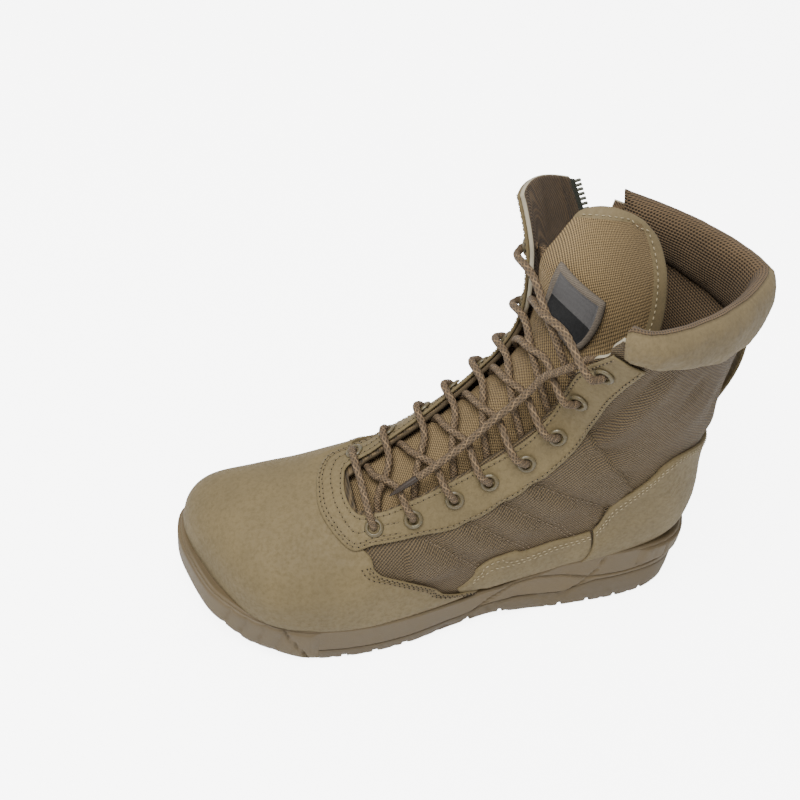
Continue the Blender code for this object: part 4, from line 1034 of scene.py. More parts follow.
def counter_grid(share_along, share_up):
    """u and v of a place on the counter: along from its outer front corner round the heel, and up."""
    side, table = (-1, COUNTER_OUTER) if share_along < 0.5 else (1, COUNTER_INNER)
    near = 1 - abs(share_along * 2 - 1)
    low_u = COUNTER_FRONT + (HEEL_U - COUNTER_FRONT) * near
    low_v = 1.0 if near > 0.999 else abs(hem(low_u, 1))
    high_u, high_v = spline(table, near)
    return low_u + (high_u - low_u) * share_up, side * (low_v + (high_v - low_v) * share_up)


HEEL_U = search(lambda u: not above_rim(u, 1.0), 0.5, 0.75)


def counter_top(share_up):
    """Height of the counter's face: thinner towards its upper edge."""
    high = soft_step((share_up - 0.55) / 0.35)
    return LAY + 3 * GAP + LEATHER - 0.0008 * high


def build_counter():
    """Leather cup at the back."""
    ups = (0.0, 0.1, 0.2, 0.3, 0.4, 0.5, 0.6, 0.68, 0.76, 0.84, 0.9, 0.95, 0.98, 0.991, 1.0)
    last = len(ups) - 1

    def place(j, i):
        u, v = counter_grid(j / 120, ups[i])
        drop = (0.0007, 0.0003)[last - i] if i > last - 2 else 0
        return lifted(u, v, counter_top(ups[i]) - drop)

    mesh = grid_form(place, 120, last, flip=False)
    piece = thicken(plain("leather_counter", mesh, FINISH["nubuck"]), COUNTER_DEEP)
    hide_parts("heel_counter")


def rand_top(u):
    """Height of the rand's face, lower where it goes under the vamp's wing."""
    return LAY + LEATHER - 0.0013 * soft_step((0.384 - u) / 0.018)


def build_rands():
    """Low leather strips between the vamp's wings and the counter."""
    for name, side in (("rand_outer", -1), ("rand_inner", 1)):
        ups = (0.0, 0.15, 0.3, 0.45, 0.6, 0.75, 0.88, 0.95, 0.985, 1.0)
        last = len(ups) - 1

        def place(j, i):
            high_u, high_v = spline(RAND_TOP, j / 60)
            low_u = RAND_START + (COUNTER_FRONT + 0.004 - RAND_START) * j / 60
            low_v = hem(low_u, side)
            u, v = low_u + (high_u - low_u) * ups[i], low_v + (side * high_v - low_v) * ups[i]
            drop = (0.0007, 0.0003)[last - i] if i > last - 2 else 0
            return lifted(u, v, rand_top(u) - drop)

        mesh = grid_form(place, 60, last, flip=side > 0)
        piece = thicken(plain("leather_" + name, mesh, FINISH["nubuck"]), LEATHER_DEEP)
        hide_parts(name)


def eyestay_top(u, v):
    """Height of the eyestay's face: its front lies over the vamp."""
    return LAY + LEATHER + 0.0009 * soft_step((0.268 - u) / 0.034) + relief(u, v) * 0.55


def build_eyestay():
    """Leather round the throat, with its edges rolled down."""
    shares = sheet_sides(9, 0.014)
    lengthwise = sheet_sides(210, 0.25)
    last, final = len(shares) - 1, len(lengthwise) - 1

    def place(j, i):
        u0, v0, u1, v1 = spline(EYESTAY, lengthwise[i])
        u, v = u0 + (u1 - u0) * shares[j], v0 + (v1 - v0) * shares[j]
        drop = (0.0006, 0.0002, 0.0)[min(j, last - j, i, final - i, 2)]
        return lifted(u, v, eyestay_top(u, v) - drop)

    mesh = grid_form(place, last, final)
    piece = thicken(plain("leather_eyestay", mesh, FINISH["nubuck"], FINISH["edge"]), 0.0018)
    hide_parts("eyestay")


# Collar and tongue

ROLL = [(0.00, 0.06), (0.08, 0.50), (0.32, 0.95), (0.62, 1.00), (0.88, 0.62), (1.04, -0.20), (1.05, -1.00),
        (0.86, -1.65), (0.50, -1.75), (0.18, -1.35), (0.00, -0.55)]
COLLAR_TALL = 0.03
COLLAR_START, COLLAR_END = -0.405, -1.355


def collar_point(v, share, out, extra=0.0):
    u = COLLAR_U + 0.0008 + (1 - COLLAR_U) * min(share, 1)
    return lifted(min(u, 1), v, out * COLLAR_PAD + extra) + Vector((0, 0, max(share - 1, 0) * COLLAR_TALL))


def build_collar():
    """Padded roll: leather outside up to a piped seam, mesh lining inside."""
    closed = ROLL + ROLL[:1]
    around, along = 66, 220

    def place(j, i):
        share, out = spline(closed, j / around)
        v = COLLAR_START + (COLLAR_END - COLLAR_START) * i / along
        end = soft_step(min(i, along - i) / 5)
        wave = 0.0014 * noise.noise(Vector((v * 16, share * 2, 0)))
        wave += 0.0004 * noise.noise(Vector((v * 60, share * 7, 2)))
        seam_dip = -0.0022 * math.exp(-((j / around - 0.47) / 0.012) ** 2)
        outside = 1 if out > 0 else 0.5
        return collar_point(v, share, out * (0.6 + 0.4 * end), wave * outside + seam_dip * outside)

    mesh = grid_form(place, around, along, paint=lambda j, i: int(0.47 < (j + 0.5) / around < 0.97))
    bmesh.ops.holes_fill(mesh, edges=[e for e in mesh.edges if e.is_boundary], sides=0)
    bmesh.ops.recalc_face_normals(mesh, faces=mesh.faces)
    piece = plain("padded_collar", mesh, FINISH["collar"], FINISH["lining"])
    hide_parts("collar")


TONGUE_START, TONGUE_CLIMB = 0.185, 0.77
TONGUE_WIDE = [(0.0, 0.17), (0.2, 0.195), (0.5, 0.235), (1.0, 0.25)]
TONGUE_LINE = -0.06
TONGUE_EDGE_DROP, TONGUE_DROP = 0.0062, 0.0100
TONGUE_FREE = [(0.0, 0.0), (0.47, 0.0), (0.66, 1.0), (1.0, 1.0)]
TONGUE_TOP = [
    (0.105, -0.22, 0.492, 0.058, -0.03, 0.583, 0.055, 0.18, 0.546),
    (0.175, -0.20, 0.600, 0.115, -0.01, 0.667, 0.105, 0.19, 0.638),
    (0.262, -0.20, 0.700, 0.155, -0.03, 0.750, 0.132, 0.23, 0.733),
    (0.325, -0.10, 0.783, 0.183, -0.04, 0.833, 0.138, 0.26, 0.825),
    (0.338, 0.02, 0.887, 0.197, 0.00, 0.900, 0.133, 0.27, 0.896),
    (0.325, 0.14, 0.962, 0.211, 0.09, 0.962, 0.156, 0.27, 0.954),
    (0.292, 0.20, 1.006, 0.228, 0.24, 1.032, 0.188, 0.30, 1.004),
]
TOP_FROM = 0.40
# Corners of the patch as share and across: low outer, low inner, high outer, high inner
PATCH = ((0.612, -0.260), (0.672, 0.600), (0.767, -0.167), (0.840, 0.580))
PATCH_LAY = LAY + 2 * GAP
PATCH_THICK = 0.0014


def tongue_under(share, across):
    drop = TONGUE_EDGE_DROP + (TONGUE_DROP - TONGUE_EDGE_DROP) * (1 - across * across)
    v = TONGUE_LINE + across * between(TONGUE_WIDE, share)
    return lifted(TONGUE_START + TONGUE_CLIMB * share, v, -drop)


def tongue_over(share, across):
    ox, oy, oz, mx, my, mz, ix, iy, iz = spline(TONGUE_TOP, (share - TOP_FROM) / (1 - TOP_FROM))
    a, b, c = across * (across - 1) / 2, 1 - across * across, across * (across + 1) / 2
    return Vector(((ox * a + mx * b + ix * c) * FOOT, (oy * a + my * b + iy * c) * BALL,
                   (oz * a + mz * b + iz * c) * SHAFT_FRONT)) - CENTRE


def tongue(share, across):
    """Middle of the tongue's thickness: share up its length, across from -1 (outer edge) to 1."""
    free = between(TONGUE_FREE, share)
    if free == 0:
        return tongue_under(share, across)
    if free == 1:
        return tongue_over(share, across)
    return tongue_under(share, across).lerp(tongue_over(share, across), free)


def on_tongue(share, across, height):
    """A point that far out of the tongue's middle, towards the front."""
    s0, s1 = max(share - 0.01, 0), min(share + 0.01, 1)
    a0, a1 = max(across - 0.02, -1), min(across + 0.02, 1)
    up = tongue(s1, across) - tongue(s0, across)
    side = tongue(share, a1) - tongue(share, a0)
    return tongue(share, across) + up.cross(side).normalized() * height


TONGUE_BORDER = -0.80   # where the leather border begins on the outer side, across
TONGUE_HEAD = 0.965     # and at the top, up its length


def build_tongue():
    """Padded tongue: twill in front, a leather border stitched round it, mesh lining behind."""
    half = 40
    shares = [k / 88 * 0.97 for k in range(89)]
    shares += [0.975, 0.980, 0.985, 0.989, 0.993, 0.996, 0.998, 0.9993, 1.0]
    along = len(shares) - 1

    def place(j, i):
        front = j <= half
        k = j if front else 2 * half - j
        across = -math.cos(math.pi * k / half)
        share = shares[i]
        full = math.sqrt(max(1 - across ** 2, 0)) ** 0.55
        full *= math.sqrt(max(1 - clamp((share - 0.965) / 0.035) ** 2, 0))
        seam_line = math.exp(-((across - TONGUE_BORDER) / 0.03) ** 2) * (share < TONGUE_HEAD)
        seam_line = max(seam_line, math.exp(-((share - TONGUE_HEAD) / 0.006) ** 2) * (across > TONGUE_BORDER))
        puff = 1 + 0.10 * noise.noise(Vector((share * 9, across * 2.2, 3))) - 0.35 * seam_line * front
        lift = TONGUE_PAD / 2 * full * puff * (1 if front else -1)
        return on_tongue(share, across, lift)

    def paint(j, i):
        if j >= half:
            return 2
        return int(-math.cos(math.pi * (j + 0.5) / half) < TONGUE_BORDER or shares[i] > TONGUE_HEAD)

    mesh = grid_form(place, 2 * half, along, paint=paint)
    bmesh.ops.holes_fill(mesh, edges=[e for e in mesh.edges if e.is_boundary], sides=0)
    bmesh.ops.recalc_face_normals(mesh, faces=mesh.faces)
    piece = plain("padded_tongue", mesh, FINISH["twill"], FINISH["collar"], FINISH["lining"])
    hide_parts("tongue")


def patch_place(aside, up, rise):
    """Place on the patch: aside from its outer to its inner edge, up from its low to its high edge."""
    low_outer, low_inner, high_outer, high_inner = (Vector(corner) for corner in PATCH)
    place = low_outer.lerp(low_inner, aside).lerp(high_outer.lerp(high_inner, aside), up)
    return on_tongue(*place, TONGUE_PAD / 2 + PATCH_LAY + rise)


def build_patch():
    """Bare patch sewn to the tongue: a grey field over a black band, with a raised border."""
    cells, border = 36, 3

    def place(j, i):
        near = min(i, j, cells - i, cells - j)
        return patch_place(j / cells, i / cells, (0.0, 0.0009, 0.0013, 0.0012, 0.0008)[min(near, 4)])

    def paint(j, i):
        if min(i, j, cells - 1 - i, cells - 1 - j) < border:
            return 2
        return int(i / cells > 0.46)

    mesh = grid_form(place, cells, cells, flip=False, paint=paint)
    piece = plain("bare_patch", mesh, FINISH["patch_dark"], FINISH["patch_grey"], FINISH["patch_edge"])
    thicken(piece, PATCH_THICK)
    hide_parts("tongue_patch")


# Eyelets and laces

EYELET_U = (0.239, 0.301, 0.370, 0.431, 0.497, 0.566, 0.670, 0.812)
EYELET_IN = 0.057
EYELET_HIGH = 0.0011
EYELET_TOP = LAY + LEATHER + 3 * GAP + EYELET_HIGH
VENTS = ((0.412, 0.552), (0.462, 0.572))
LACE_ON_TONGUE = -0.0022
LACE_OVER = EYELET_TOP + CORD / 2 + 0.0005
UNDER = -0.0046         # height of the lace's middle behind the eyestay


def throat_v(u, side):
    return between(THROAT_OUTER if side < 0 else THROAT_INNER, u)


def eyelet_v(u, side):
    return throat_v(u, side) + side * EYELET_IN


def axes_at(u, v):
    """Directions at a place on the upper: across it, up along it, and out of it."""
    out = outward(u, v)
    up = (skin(u + 0.01, v) - skin(u - 0.01, v)).normalized()
    up = (up - out * up.dot(out)).normalized()
    return up.cross(out).normalized(), up, out


def placed(axes, origin):
    """Matrix that takes a piece made at the origin to its place."""
    turn = Matrix((axes[0], axes[1], axes[2])).transposed().to_4x4()
    turn.translation = origin
    return turn


def spun(mesh, profile, steps=30):
    """Ring: a closed profile of (radius, height) turned once round Z."""
    verts = [mesh.verts.new((r, 0, h)) for r, h in profile]
    edges = [mesh.edges.new((a, b)) for a, b in zip(verts, verts[1:] + verts[:1])]
    made = bmesh.ops.spin(mesh, geom=verts + edges, cent=(0, 0, 0), axis=(0, 0, 1), dvec=(0, 0, 0),
                          angle=2 * math.pi, steps=steps, use_merge=True)
    return made


def eyelet(name, node, u, v):
    """Rolled ring pressed through the leather, with its barrel going down into the dark."""
    mesh = bmesh.new()
    hole, rim = EYELET_HOLE, EYELET
    spun(mesh, [(hole, -0.0034), (hole, 0.0004), (hole + 0.0003, 0.0009), (hole + 0.0009, 0.0012),
                (rim - 0.0010, 0.0010), (rim - 0.0004, 0.0006), (rim, 0.0001), (rim - 0.0003, -0.0006),
                (hole + 0.0004, -0.0006), (hole + 0.0004, -0.0034)])
    bmesh.ops.recalc_face_normals(mesh, faces=mesh.faces)
    floor = bmesh.ops.create_circle(mesh, cap_ends=True, segments=24, radius=hole + 0.0003)["verts"]
    bmesh.ops.translate(mesh, vec=(0, 0, -0.0020), verts=floor)
    for face in {f for vert in floor for f in vert.link_faces}:
        face.material_index = 1
    seat = lifted(u, v, EYELET_TOP - EYELET_HIGH)
    bmesh.ops.transform(mesh, matrix=placed(axes_at(u, v), seat), verts=mesh.verts)
    piece = plain(name, mesh, FINISH["brass"], FINISH["hole"])
    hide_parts(node)


def build_eyelets():
    for side, word in ((-1, "outer"), (1, "inner")):
        for k, u in enumerate(EYELET_U):
            eyelet(f"ring_{word}_{k + 1}", f"eyelet_{word}_{k + 1}", u, eyelet_v(u, side))
    for k, (u, v) in enumerate(VENTS):
        eyelet(f"vent_{k + 1}", f"vent_eyelet_{k + 1}", u, v)


def strand(k, side):
    """The lace from inside eyelet k of one side, over the tongue, into the next eyelet of the other side."""
    u0, u1 = EYELET_U[k], EYELET_U[k + 1]
    start, end = throat_v(u0, side) - side * 0.026, throat_v(u1, -side)
    middle = (throat_v((u0 + u1) / 2, -1) + throat_v((u0 + u1) / 2, 1)) / 2
    hole = eyelet_v(u1, -side)
    sag = 0.0024 * k
    return [(u0 + 0.001, eyelet_v(u0, side), UNDER), (u0 + 0.007, throat_v(u0, side) + side * 0.012, UNDER),
            (u0 + 0.012, start, LACE_ON_TONGUE - 0.0004),
            (u0 + (u1 - u0) * 0.30, (start + middle) / 2, LACE_ON_TONGUE + 0.0009 * (side > 0)),
            ((u0 + u1) / 2, middle, LACE_ON_TONGUE + 0.0004 + 0.0016 * (side > 0)),
            (u1 - (u1 - u0) * 0.20, (middle + end) / 2 + side * 0.002, LACE_ON_TONGUE + 0.0020),
            (u1 - 0.004 - sag, end - side * 0.012, LACE_OVER),
            (u1 - 0.001 - sag * 0.5, hole + side * 0.016, LACE_OVER - 0.0006),
            (u1, hole + side * 0.003, LACE_OVER - 0.0026), (u1, hole, UNDER + 0.0012)]


def build_laces():
    """The lace through its eyelets: the bar across the first two, then every crossing."""
    u = EYELET_U[0]
    outer, inner = throat_v(u, -1), throat_v(u, 1)
    low, high = eyelet_v(u, -1), eyelet_v(u, 1)
    runs = [[(u, low, UNDER + 0.0012), (u, low + 0.003, LACE_OVER - 0.0026),
             (u, low + 0.018, LACE_OVER - 0.0004), (u, outer - 0.004, LACE_OVER),
             (u, (outer + inner) / 2, LACE_OVER - 0.0014), (u, inner + 0.004, LACE_OVER),
             (u, high - 0.018, LACE_OVER - 0.0004), (u, high - 0.003, LACE_OVER - 0.0026),
             (u, high, UNDER + 0.0012)]]
    for k in range(len(EYELET_U) - 1):
        runs += [strand(k, -1), strand(k, 1)]
    whole = bmesh.new()
    for k, rows in enumerate(runs):
        run = tube(f"run_{k}", on_upper(rows, 44), CORD / 2, FINISH["lace"])
        whole.from_mesh(run.data)
        old = run.data
        bpy.data.objects.remove(run)
        bpy.data.meshes.remove(old)
    piece = plain("braided_lace", whole, FINISH["lace"])
    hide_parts("lace_bar", *(f"lace_cross_{k + 1}" for k in range(len(EYELET_U) - 1)))


FREE_OUTER = [
    # u     v      height
    (0.810, -0.348, -0.0052), (0.795, -0.325, -0.0056), (0.778, -0.295, -0.0058), (0.762, -0.262, -0.0036),
    (0.735, -0.235, 0.0022), (0.700, -0.205, 0.0058), (0.650, -0.170, 0.0066), (0.580, -0.150, 0.0068),
    (0.500, -0.135, 0.0068), (0.430, -0.138, 0.0068), (0.370, -0.140, 0.0070), (0.328, -0.140, 0.0074),
]
FREE_INNER = [
    (0.812, 0.237, -0.0056), (0.802, 0.232, -0.0062), (0.790, 0.226, -0.0064), (0.775, 0.220, -0.0064),
    (0.758, 0.214, -0.0062), (0.740, 0.208, -0.0060), (0.722, 0.204, -0.0058), (0.702, 0.202, -0.0058),
    (0.680, 0.202, -0.0058), (0.656, 0.204, -0.0058),
]
TIP_LONG, TIP_RADIUS = 0.018, 0.0018


def run_length(points):
    return sum((b - a).length for a, b in zip(points, points[1:]))


def build_free_ends():
    """The lace's outer free end down the front, with its tip, and the short inner end behind the flap."""
    points = on_upper(FREE_OUTER, 36)
    before, last = lifted(*FREE_OUTER[-2]), lifted(*FREE_OUTER[-1])
    ahead = (last - before).normalized()
    start = last + ahead * GAP
    line = [start + ahead * (TIP_LONG * k / 12) for k in range(13)]
    aglet = tube("lace_aglet", line, TIP_RADIUS, FINISH["tip"],
                 taper=lambda t: 1.0 - 0.8 * max(0, (t - 0.3) / 0.7) ** 1.8)
    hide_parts("lace_tip")
    free = tube("free_lace_outer", points, CORD / 2, FINISH["lace"])
    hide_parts("lace_end_outer")
    tuple(points[0])
    run_length(points)
    [tuple(p) for p in points]
    inner = on_upper(FREE_INNER, 28)
    hidden = tube("free_lace_inner", inner, CORD / 2, FINISH["lace"])
    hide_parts("lace_end_inner")
    tuple(inner[0])
    run_length(inner)
    [tuple(p) for p in inner]


# Zip, strap and pull loop

ZIP_LOW, TAPE_V = 0.548, 0.030
SLIDER_U = ZIP_OPEN
SLIDER_WIDE, SLIDER_LONG, SLIDER_HIGH = 0.0090, 0.0110, 0.0034
EAR, PIN, PIN_ROOM, EYE = 0.0010, 0.0007, 0.0004, 0.0020
PIN_HIGH = SLIDER_HIGH + EYE + 2 * GAP
PULL_WIDE, PULL_THICK, NECK = 0.0046, 0.0014, 0.0045
PLATE_LENGTH, PLATE_WIDE = 0.0175, 0.0084
SLIDER_SEAT = LAY
TOOTH_PITCH = 0.0026


def zip_v(u):
    return (between(ZIP_FRONT, u) + between(ZIP_BACK, u)) / 2


def flat_strip(name, node, rows, lines, top, wall, finish, cells=6):
    """Tape over rows of u, between two lines v(u)."""
    def place(j, i):
        low, high = (line(rows[i]) for line in lines)
        return lifted(rows[i], low + (high - low) * j / cells, top)

    piece = thicken(plain(name, grid_form(place, cells, len(rows) - 1), finish), wall)
    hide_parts(node)
    return piece


def round_edges(mesh, verts, width):
    """Bevel every edge that meets the given vertices."""
    edges = {edge for vert in verts for edge in vert.link_edges}
    bmesh.ops.bevel(mesh, geom=list(edges), offset=width, affect="EDGES", segments=2, profile=0.5,
                    material=-1)


def rounded_block(mesh, size, round_by):
    """Box with rounded edges at the origin; returns its vertices."""
    before = set(mesh.verts)
    box = bmesh.ops.create_cube(mesh, size=1)["verts"]
    bmesh.ops.scale(mesh, vec=size, verts=box)
    round_edges(mesh, box, round_by)
    return [vert for vert in mesh.verts if vert not in before]


def teeth(name, node, places, finish):
    """Moulded teeth at (u, v, side, height) places along the zip."""
    mesh = bmesh.new()
    for u, v, side, high in places:
        made = rounded_block(mesh, (0.0038, 0.0015, 0.0019), 0.0004)
        bmesh.ops.translate(mesh, vec=(side * 0.0013, 0, 0), verts=made)
        bmesh.ops.transform(mesh, matrix=placed(axes_at(u, v), lifted(u, v, high)), verts=made)
    piece = plain(name, mesh, finish)
    if node:
        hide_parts(node)
    return piece


def build_zip():
    """Zip tape and teeth up to the slider, and the two open sides over it."""
    top = ZIP_OPEN - 0.038
    rows = [ZIP_LOW + (top - ZIP_LOW) * i / 48 for i in range(49)]
    flat_strip("zip_cloth", "zip_tape", rows, (lambda u: zip_v(u) - TAPE_V, lambda u: zip_v(u) + TAPE_V),
               LAY + 0.0008, 0.0008, FINISH["tape"], 10)
    count = int((skin(top, zip_v(top)) - skin(ZIP_LOW, zip_v(ZIP_LOW))).length / (TOOTH_PITCH / 2))
    places = []
    for k in range(count):
        u = ZIP_LOW + (top - ZIP_LOW) * (k + 0.5) / count
        places.append((u, zip_v(u), -1 if k % 2 else 1, LAY + 0.0018))
    teeth("zip_moulded_teeth", "zip_teeth", places, FINISH["teeth"])
    front_rows = [ZIP_OPEN + 0.02 + (0.996 - ZIP_OPEN - 0.02) * i / 20 for i in range(21)]
    flat_strip("zip_edge_front", "zip_side_front", front_rows,
               (lambda u: between(ZIP_FRONT, u) - 0.004, lambda u: between(ZIP_FRONT, u) + 0.014),
               -0.0004, 0.0010, FINISH["tape"])
    back_rows = [ZIP_OPEN + 0.02 + (COLLAR_U - ZIP_OPEN - 0.02) * i / 8 for i in range(9)]
    flat_strip("zip_edge_back", "zip_side_back", back_rows,
               (lambda u: between(ZIP_BACK, u) - 0.014, lambda u: between(ZIP_BACK, u) + 0.004),
               -0.0004, 0.0010, FINISH["tape"])
    side_teeth = [(u, between(ZIP_FRONT, u) + 0.014, -1, -0.0008) for u in
                  [ZIP_OPEN + 0.022 + 0.0105 * k for k in range(10)]]
    teeth("zip_front_teeth", None, side_teeth, FINISH["teeth"])


def slider_axes():
    v = zip_v(SLIDER_U)
    return lifted(SLIDER_U, v, SLIDER_SEAT), axes_at(SLIDER_U, v)


def pull_frame():
    foot, (across, _, out) = slider_axes()
    hang = Vector((0, 0, -1))
    return foot + out * PIN_HIGH, across, (hang - across * hang.dot(across)).normalized()


# Outline of the slider's plates, as shares of its half width and half length
SHIELD = [(-0.30, -1), (0.30, -1), (0.55, -0.75), (0.72, -0.2), (0.95, 0.25), (1, 0.7), (0.80, 0.98),
          (0.45, 0.90), (0, 0.62), (-0.45, 0.90), (-0.80, 0.98), (-1, 0.7), (-0.95, 0.25),
          (-0.72, -0.2), (-0.55, -0.75)]


def build_slider():
    """Cast slider: two shield plates on a post, side flanges, two ears and the pin."""
    foot, axes = slider_axes()
    mesh = bmesh.new()
    half = SLIDER_WIDE / 2
    for low, thick in ((0.0, 0.0010), (SLIDER_HIGH - 0.0012, 0.0012)):
        before = set(mesh.verts)
        face = mesh.faces.new([mesh.verts.new((x * half, y * SLIDER_LONG / 2, low)) for x, y in SHIELD])
        grown = bmesh.ops.extrude_face_region(mesh, geom=[face])["geom"]
        raised = [item for item in grown if isinstance(item, bmesh.types.BMVert)]
        bmesh.ops.translate(mesh, vec=(0, 0, thick), verts=raised)
        round_edges(mesh, [vert for vert in mesh.verts if vert not in before], 0.0003)
    for size, centre in (((0.0022, 0.0040, SLIDER_HIGH - 0.0006), (0, 0.0010, SLIDER_HIGH / 2)),
                         ((0.0007, 0.0085, 0.0011), (-half * 0.86, -0.0002, SLIDER_HIGH - 0.0016)),
                         ((0.0007, 0.0085, 0.0011), (half * 0.86, -0.0002, SLIDER_HIGH - 0.0016))):
        made = rounded_block(mesh, size, 0.0002)
        bmesh.ops.translate(mesh, vec=centre, verts=made)
    gap = PULL_WIDE + 2 * GAP
    for side in (-1, 1):
        made = rounded_block(mesh, (EAR, 5 * PIN, PIN_HIGH + 4 * PIN - SLIDER_HIGH), 0.0003)
        place = (side * (gap + EAR) / 2, 0, (SLIDER_HIGH + PIN_HIGH + PIN) / 2)
        bmesh.ops.translate(mesh, vec=place, verts=made)
    made = bmesh.ops.create_cone(mesh, cap_ends=True, segments=16, radius1=PIN, radius2=PIN,
                                 depth=gap + EAR)["verts"]
    bmesh.ops.rotate(mesh, cent=(0, 0, 0), matrix=Matrix.Rotation(math.pi / 2, 3, "Y"), verts=made)
    bmesh.ops.translate(mesh, vec=(0, 0, PIN_HIGH), verts=made)
    bmesh.ops.recalc_face_normals(mesh, faces=mesh.faces)
    bmesh.ops.transform(mesh, matrix=placed(axes, foot), verts=mesh.verts)
    piece = plain("zip_runner", mesh, FINISH["slider"])
    piece.data.set_sharp_from_angle(angle=math.radians(38))
    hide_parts("zip_slider")


def build_pull():
    """Pull tab: an eye round the pin, a narrow neck and a wide plate with a slot."""
    pin, across, hang = pull_frame()
    mesh = bmesh.new()
    bore = PIN + PIN_ROOM
    spun(mesh, [(bore, -PULL_WIDE / 2), (EYE - 0.0002, -PULL_WIDE / 2), (EYE, -PULL_WIDE / 2 + 0.0003),
                (EYE, PULL_WIDE / 2 - 0.0003), (EYE - 0.0002, PULL_WIDE / 2), (bore, PULL_WIDE / 2)], 28)
    bmesh.ops.recalc_face_normals(mesh, faces=mesh.faces)
    bmesh.ops.rotate(mesh, cent=(0, 0, 0), matrix=Matrix.Rotation(math.pi / 2, 3, "Y"), verts=mesh.verts)
    top = (EYE + bore) / 2
    plate, bar = top + NECK, 0.0018
    side = (PLATE_WIDE - bar) / 2
    for size, centre in (((PULL_WIDE, NECK + 0.0010, PULL_THICK), (0, top + (NECK + 0.0010) / 2, 0)),
                         ((bar, PLATE_LENGTH - 0.0010, PULL_THICK), (-side, plate + PLATE_LENGTH / 2, 0)),
                         ((bar, PLATE_LENGTH - 0.0010, PULL_THICK), (side, plate + PLATE_LENGTH / 2, 0)),
                         ((PLATE_WIDE, 0.0042, PULL_THICK), (0, plate + 0.0021, 0)),
                         ((PLATE_WIDE, 0.0036, PULL_THICK), (0, plate + PLATE_LENGTH - 0.0018, 0))):
        made = rounded_block(mesh, size, 0.0003)
        bmesh.ops.translate(mesh, vec=centre, verts=made)
    bmesh.ops.transform(mesh, matrix=placed((across, hang, across.cross(hang)), pin), verts=mesh.verts)
    piece = plain("zip_tab", mesh, FINISH["slider"])
    piece.data.set_sharp_from_angle(angle=math.radians(38))
    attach(piece, PULL_BODY)
    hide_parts("zip_pull")


STRAP_LOW, STRAP_HIGH = 0.765, 0.822
STRAP_V = (0.40, 0.78)


def strap_height(v):
    return LAY + LEATHER + GAP + 0.0012 * math.exp(-((v - zip_v(STRAP_LOW)) / 0.045) ** 2)


def build_strap():
    """Leather strap over the zip, with rounded edges."""
    shares = sheet_sides(14, 0.014)
    count = 90

    def place(j, i):
        u = STRAP_LOW + (STRAP_HIGH - STRAP_LOW) * shares[j]
        v = STRAP_V[0] + (STRAP_V[1] - STRAP_V[0]) * i / count
        near = min(j, len(shares) - 1 - j)
        drop = (0.0007, 0.0002, 0)[min(near, 2)] + 0.0005 * max(0, 1 - min(i, count - i) / 1.5)
        sag = 0.0003 * noise.noise(Vector((v * 20, u * 30, 1)))
        return lifted(u, v, strap_height(v) + 0.0018 - drop + sag)

    mesh = grid_form(place, len(shares) - 1, count, flip=False)
    piece = thicken(plain("leather_strap", mesh, FINISH["nubuck"]), 0.0016)
    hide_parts("strap")


def build_pull_loop():
    """Loop of leather down the back seam, below the collar."""
    high, low, wide, rows = 0.905, 0.80, 0.010, 40

    def place(j, i):
        u = low + (high - low) * i / rows
        swell = 0.0040 * math.sin(math.pi * i / rows)
        across = (-1, -0.97, -0.85, -0.5, 0, 0.5, 0.85, 0.97, 1)[j]
        drop = 0.0005 * (abs(across) > 0.98) + 0.0001 * (abs(across) > 0.9)
        out = outward(u, 1.0) * (0.0012 - drop)
        return lifted(u, 1.0, 2 * GAP + swell) + Vector((0, across * wide / 2, 0)) + out

    piece = thicken(plain("leather_loop", grid_form(place, 8, rows, flip=False), FINISH["nubuck"]), 0.0011)
    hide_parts("pull_loop")


def build_insole():
    """The insole keeps its solid, and gets the lining's foam finish."""
    node = bpy.data.objects.get("insole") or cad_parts["insole"]
    node.data.materials.clear()
    node.data.materials.append(FINISH["lining"])


# Stitches

def beside(edge_line, inner_line, inset, top, count=140):
    """Points inside an edge by a real distance: the lines give (u, v) at a share, top the face's height."""
    points = []
    for i in range(count + 1):
        a, b = edge_line(i / count), inner_line(i / count)
        span = max((skin(*b) - skin(*a)).length, 1e-5)
        t = inset / span
        u, v = a[0] + (b[0] - a[0]) * t, a[1] + (b[1] - a[1]) * t
        points.append(lifted(u, v, top(u, v) + ON_FACE))
    return points


ON_FACE = THREAD * 0.55     # height of a stitch's middle over the leather
FIRST_ROW = 0.0022          # from a leather edge to its first row of stitches
STRAP_ROW, STRAP_END = 0.009, 0.012     # the strap's rows from its edges in u, and from its ends in v
APRON_PART = (0.36, 0.62)   # share of the eyestay's length that lies round the throat's base


def vamp_line(back, low, high):
    """The vamp's edge, or a line behind it, between two shares across."""
    def line(s):
        share = low + (high - low) * s
        u = curve(VAMP_EDGE, share) * back
        return u, abs(share) * hem(u, -1 if share < 0 else 1)
    return line


def on_vamp(u, v):
    return vamp_top(u, v / abs(hem(u, -1 if v < 0 else 1)))


def part_of(line, low, high):
    return lambda s: line(low + (high - low) * s)


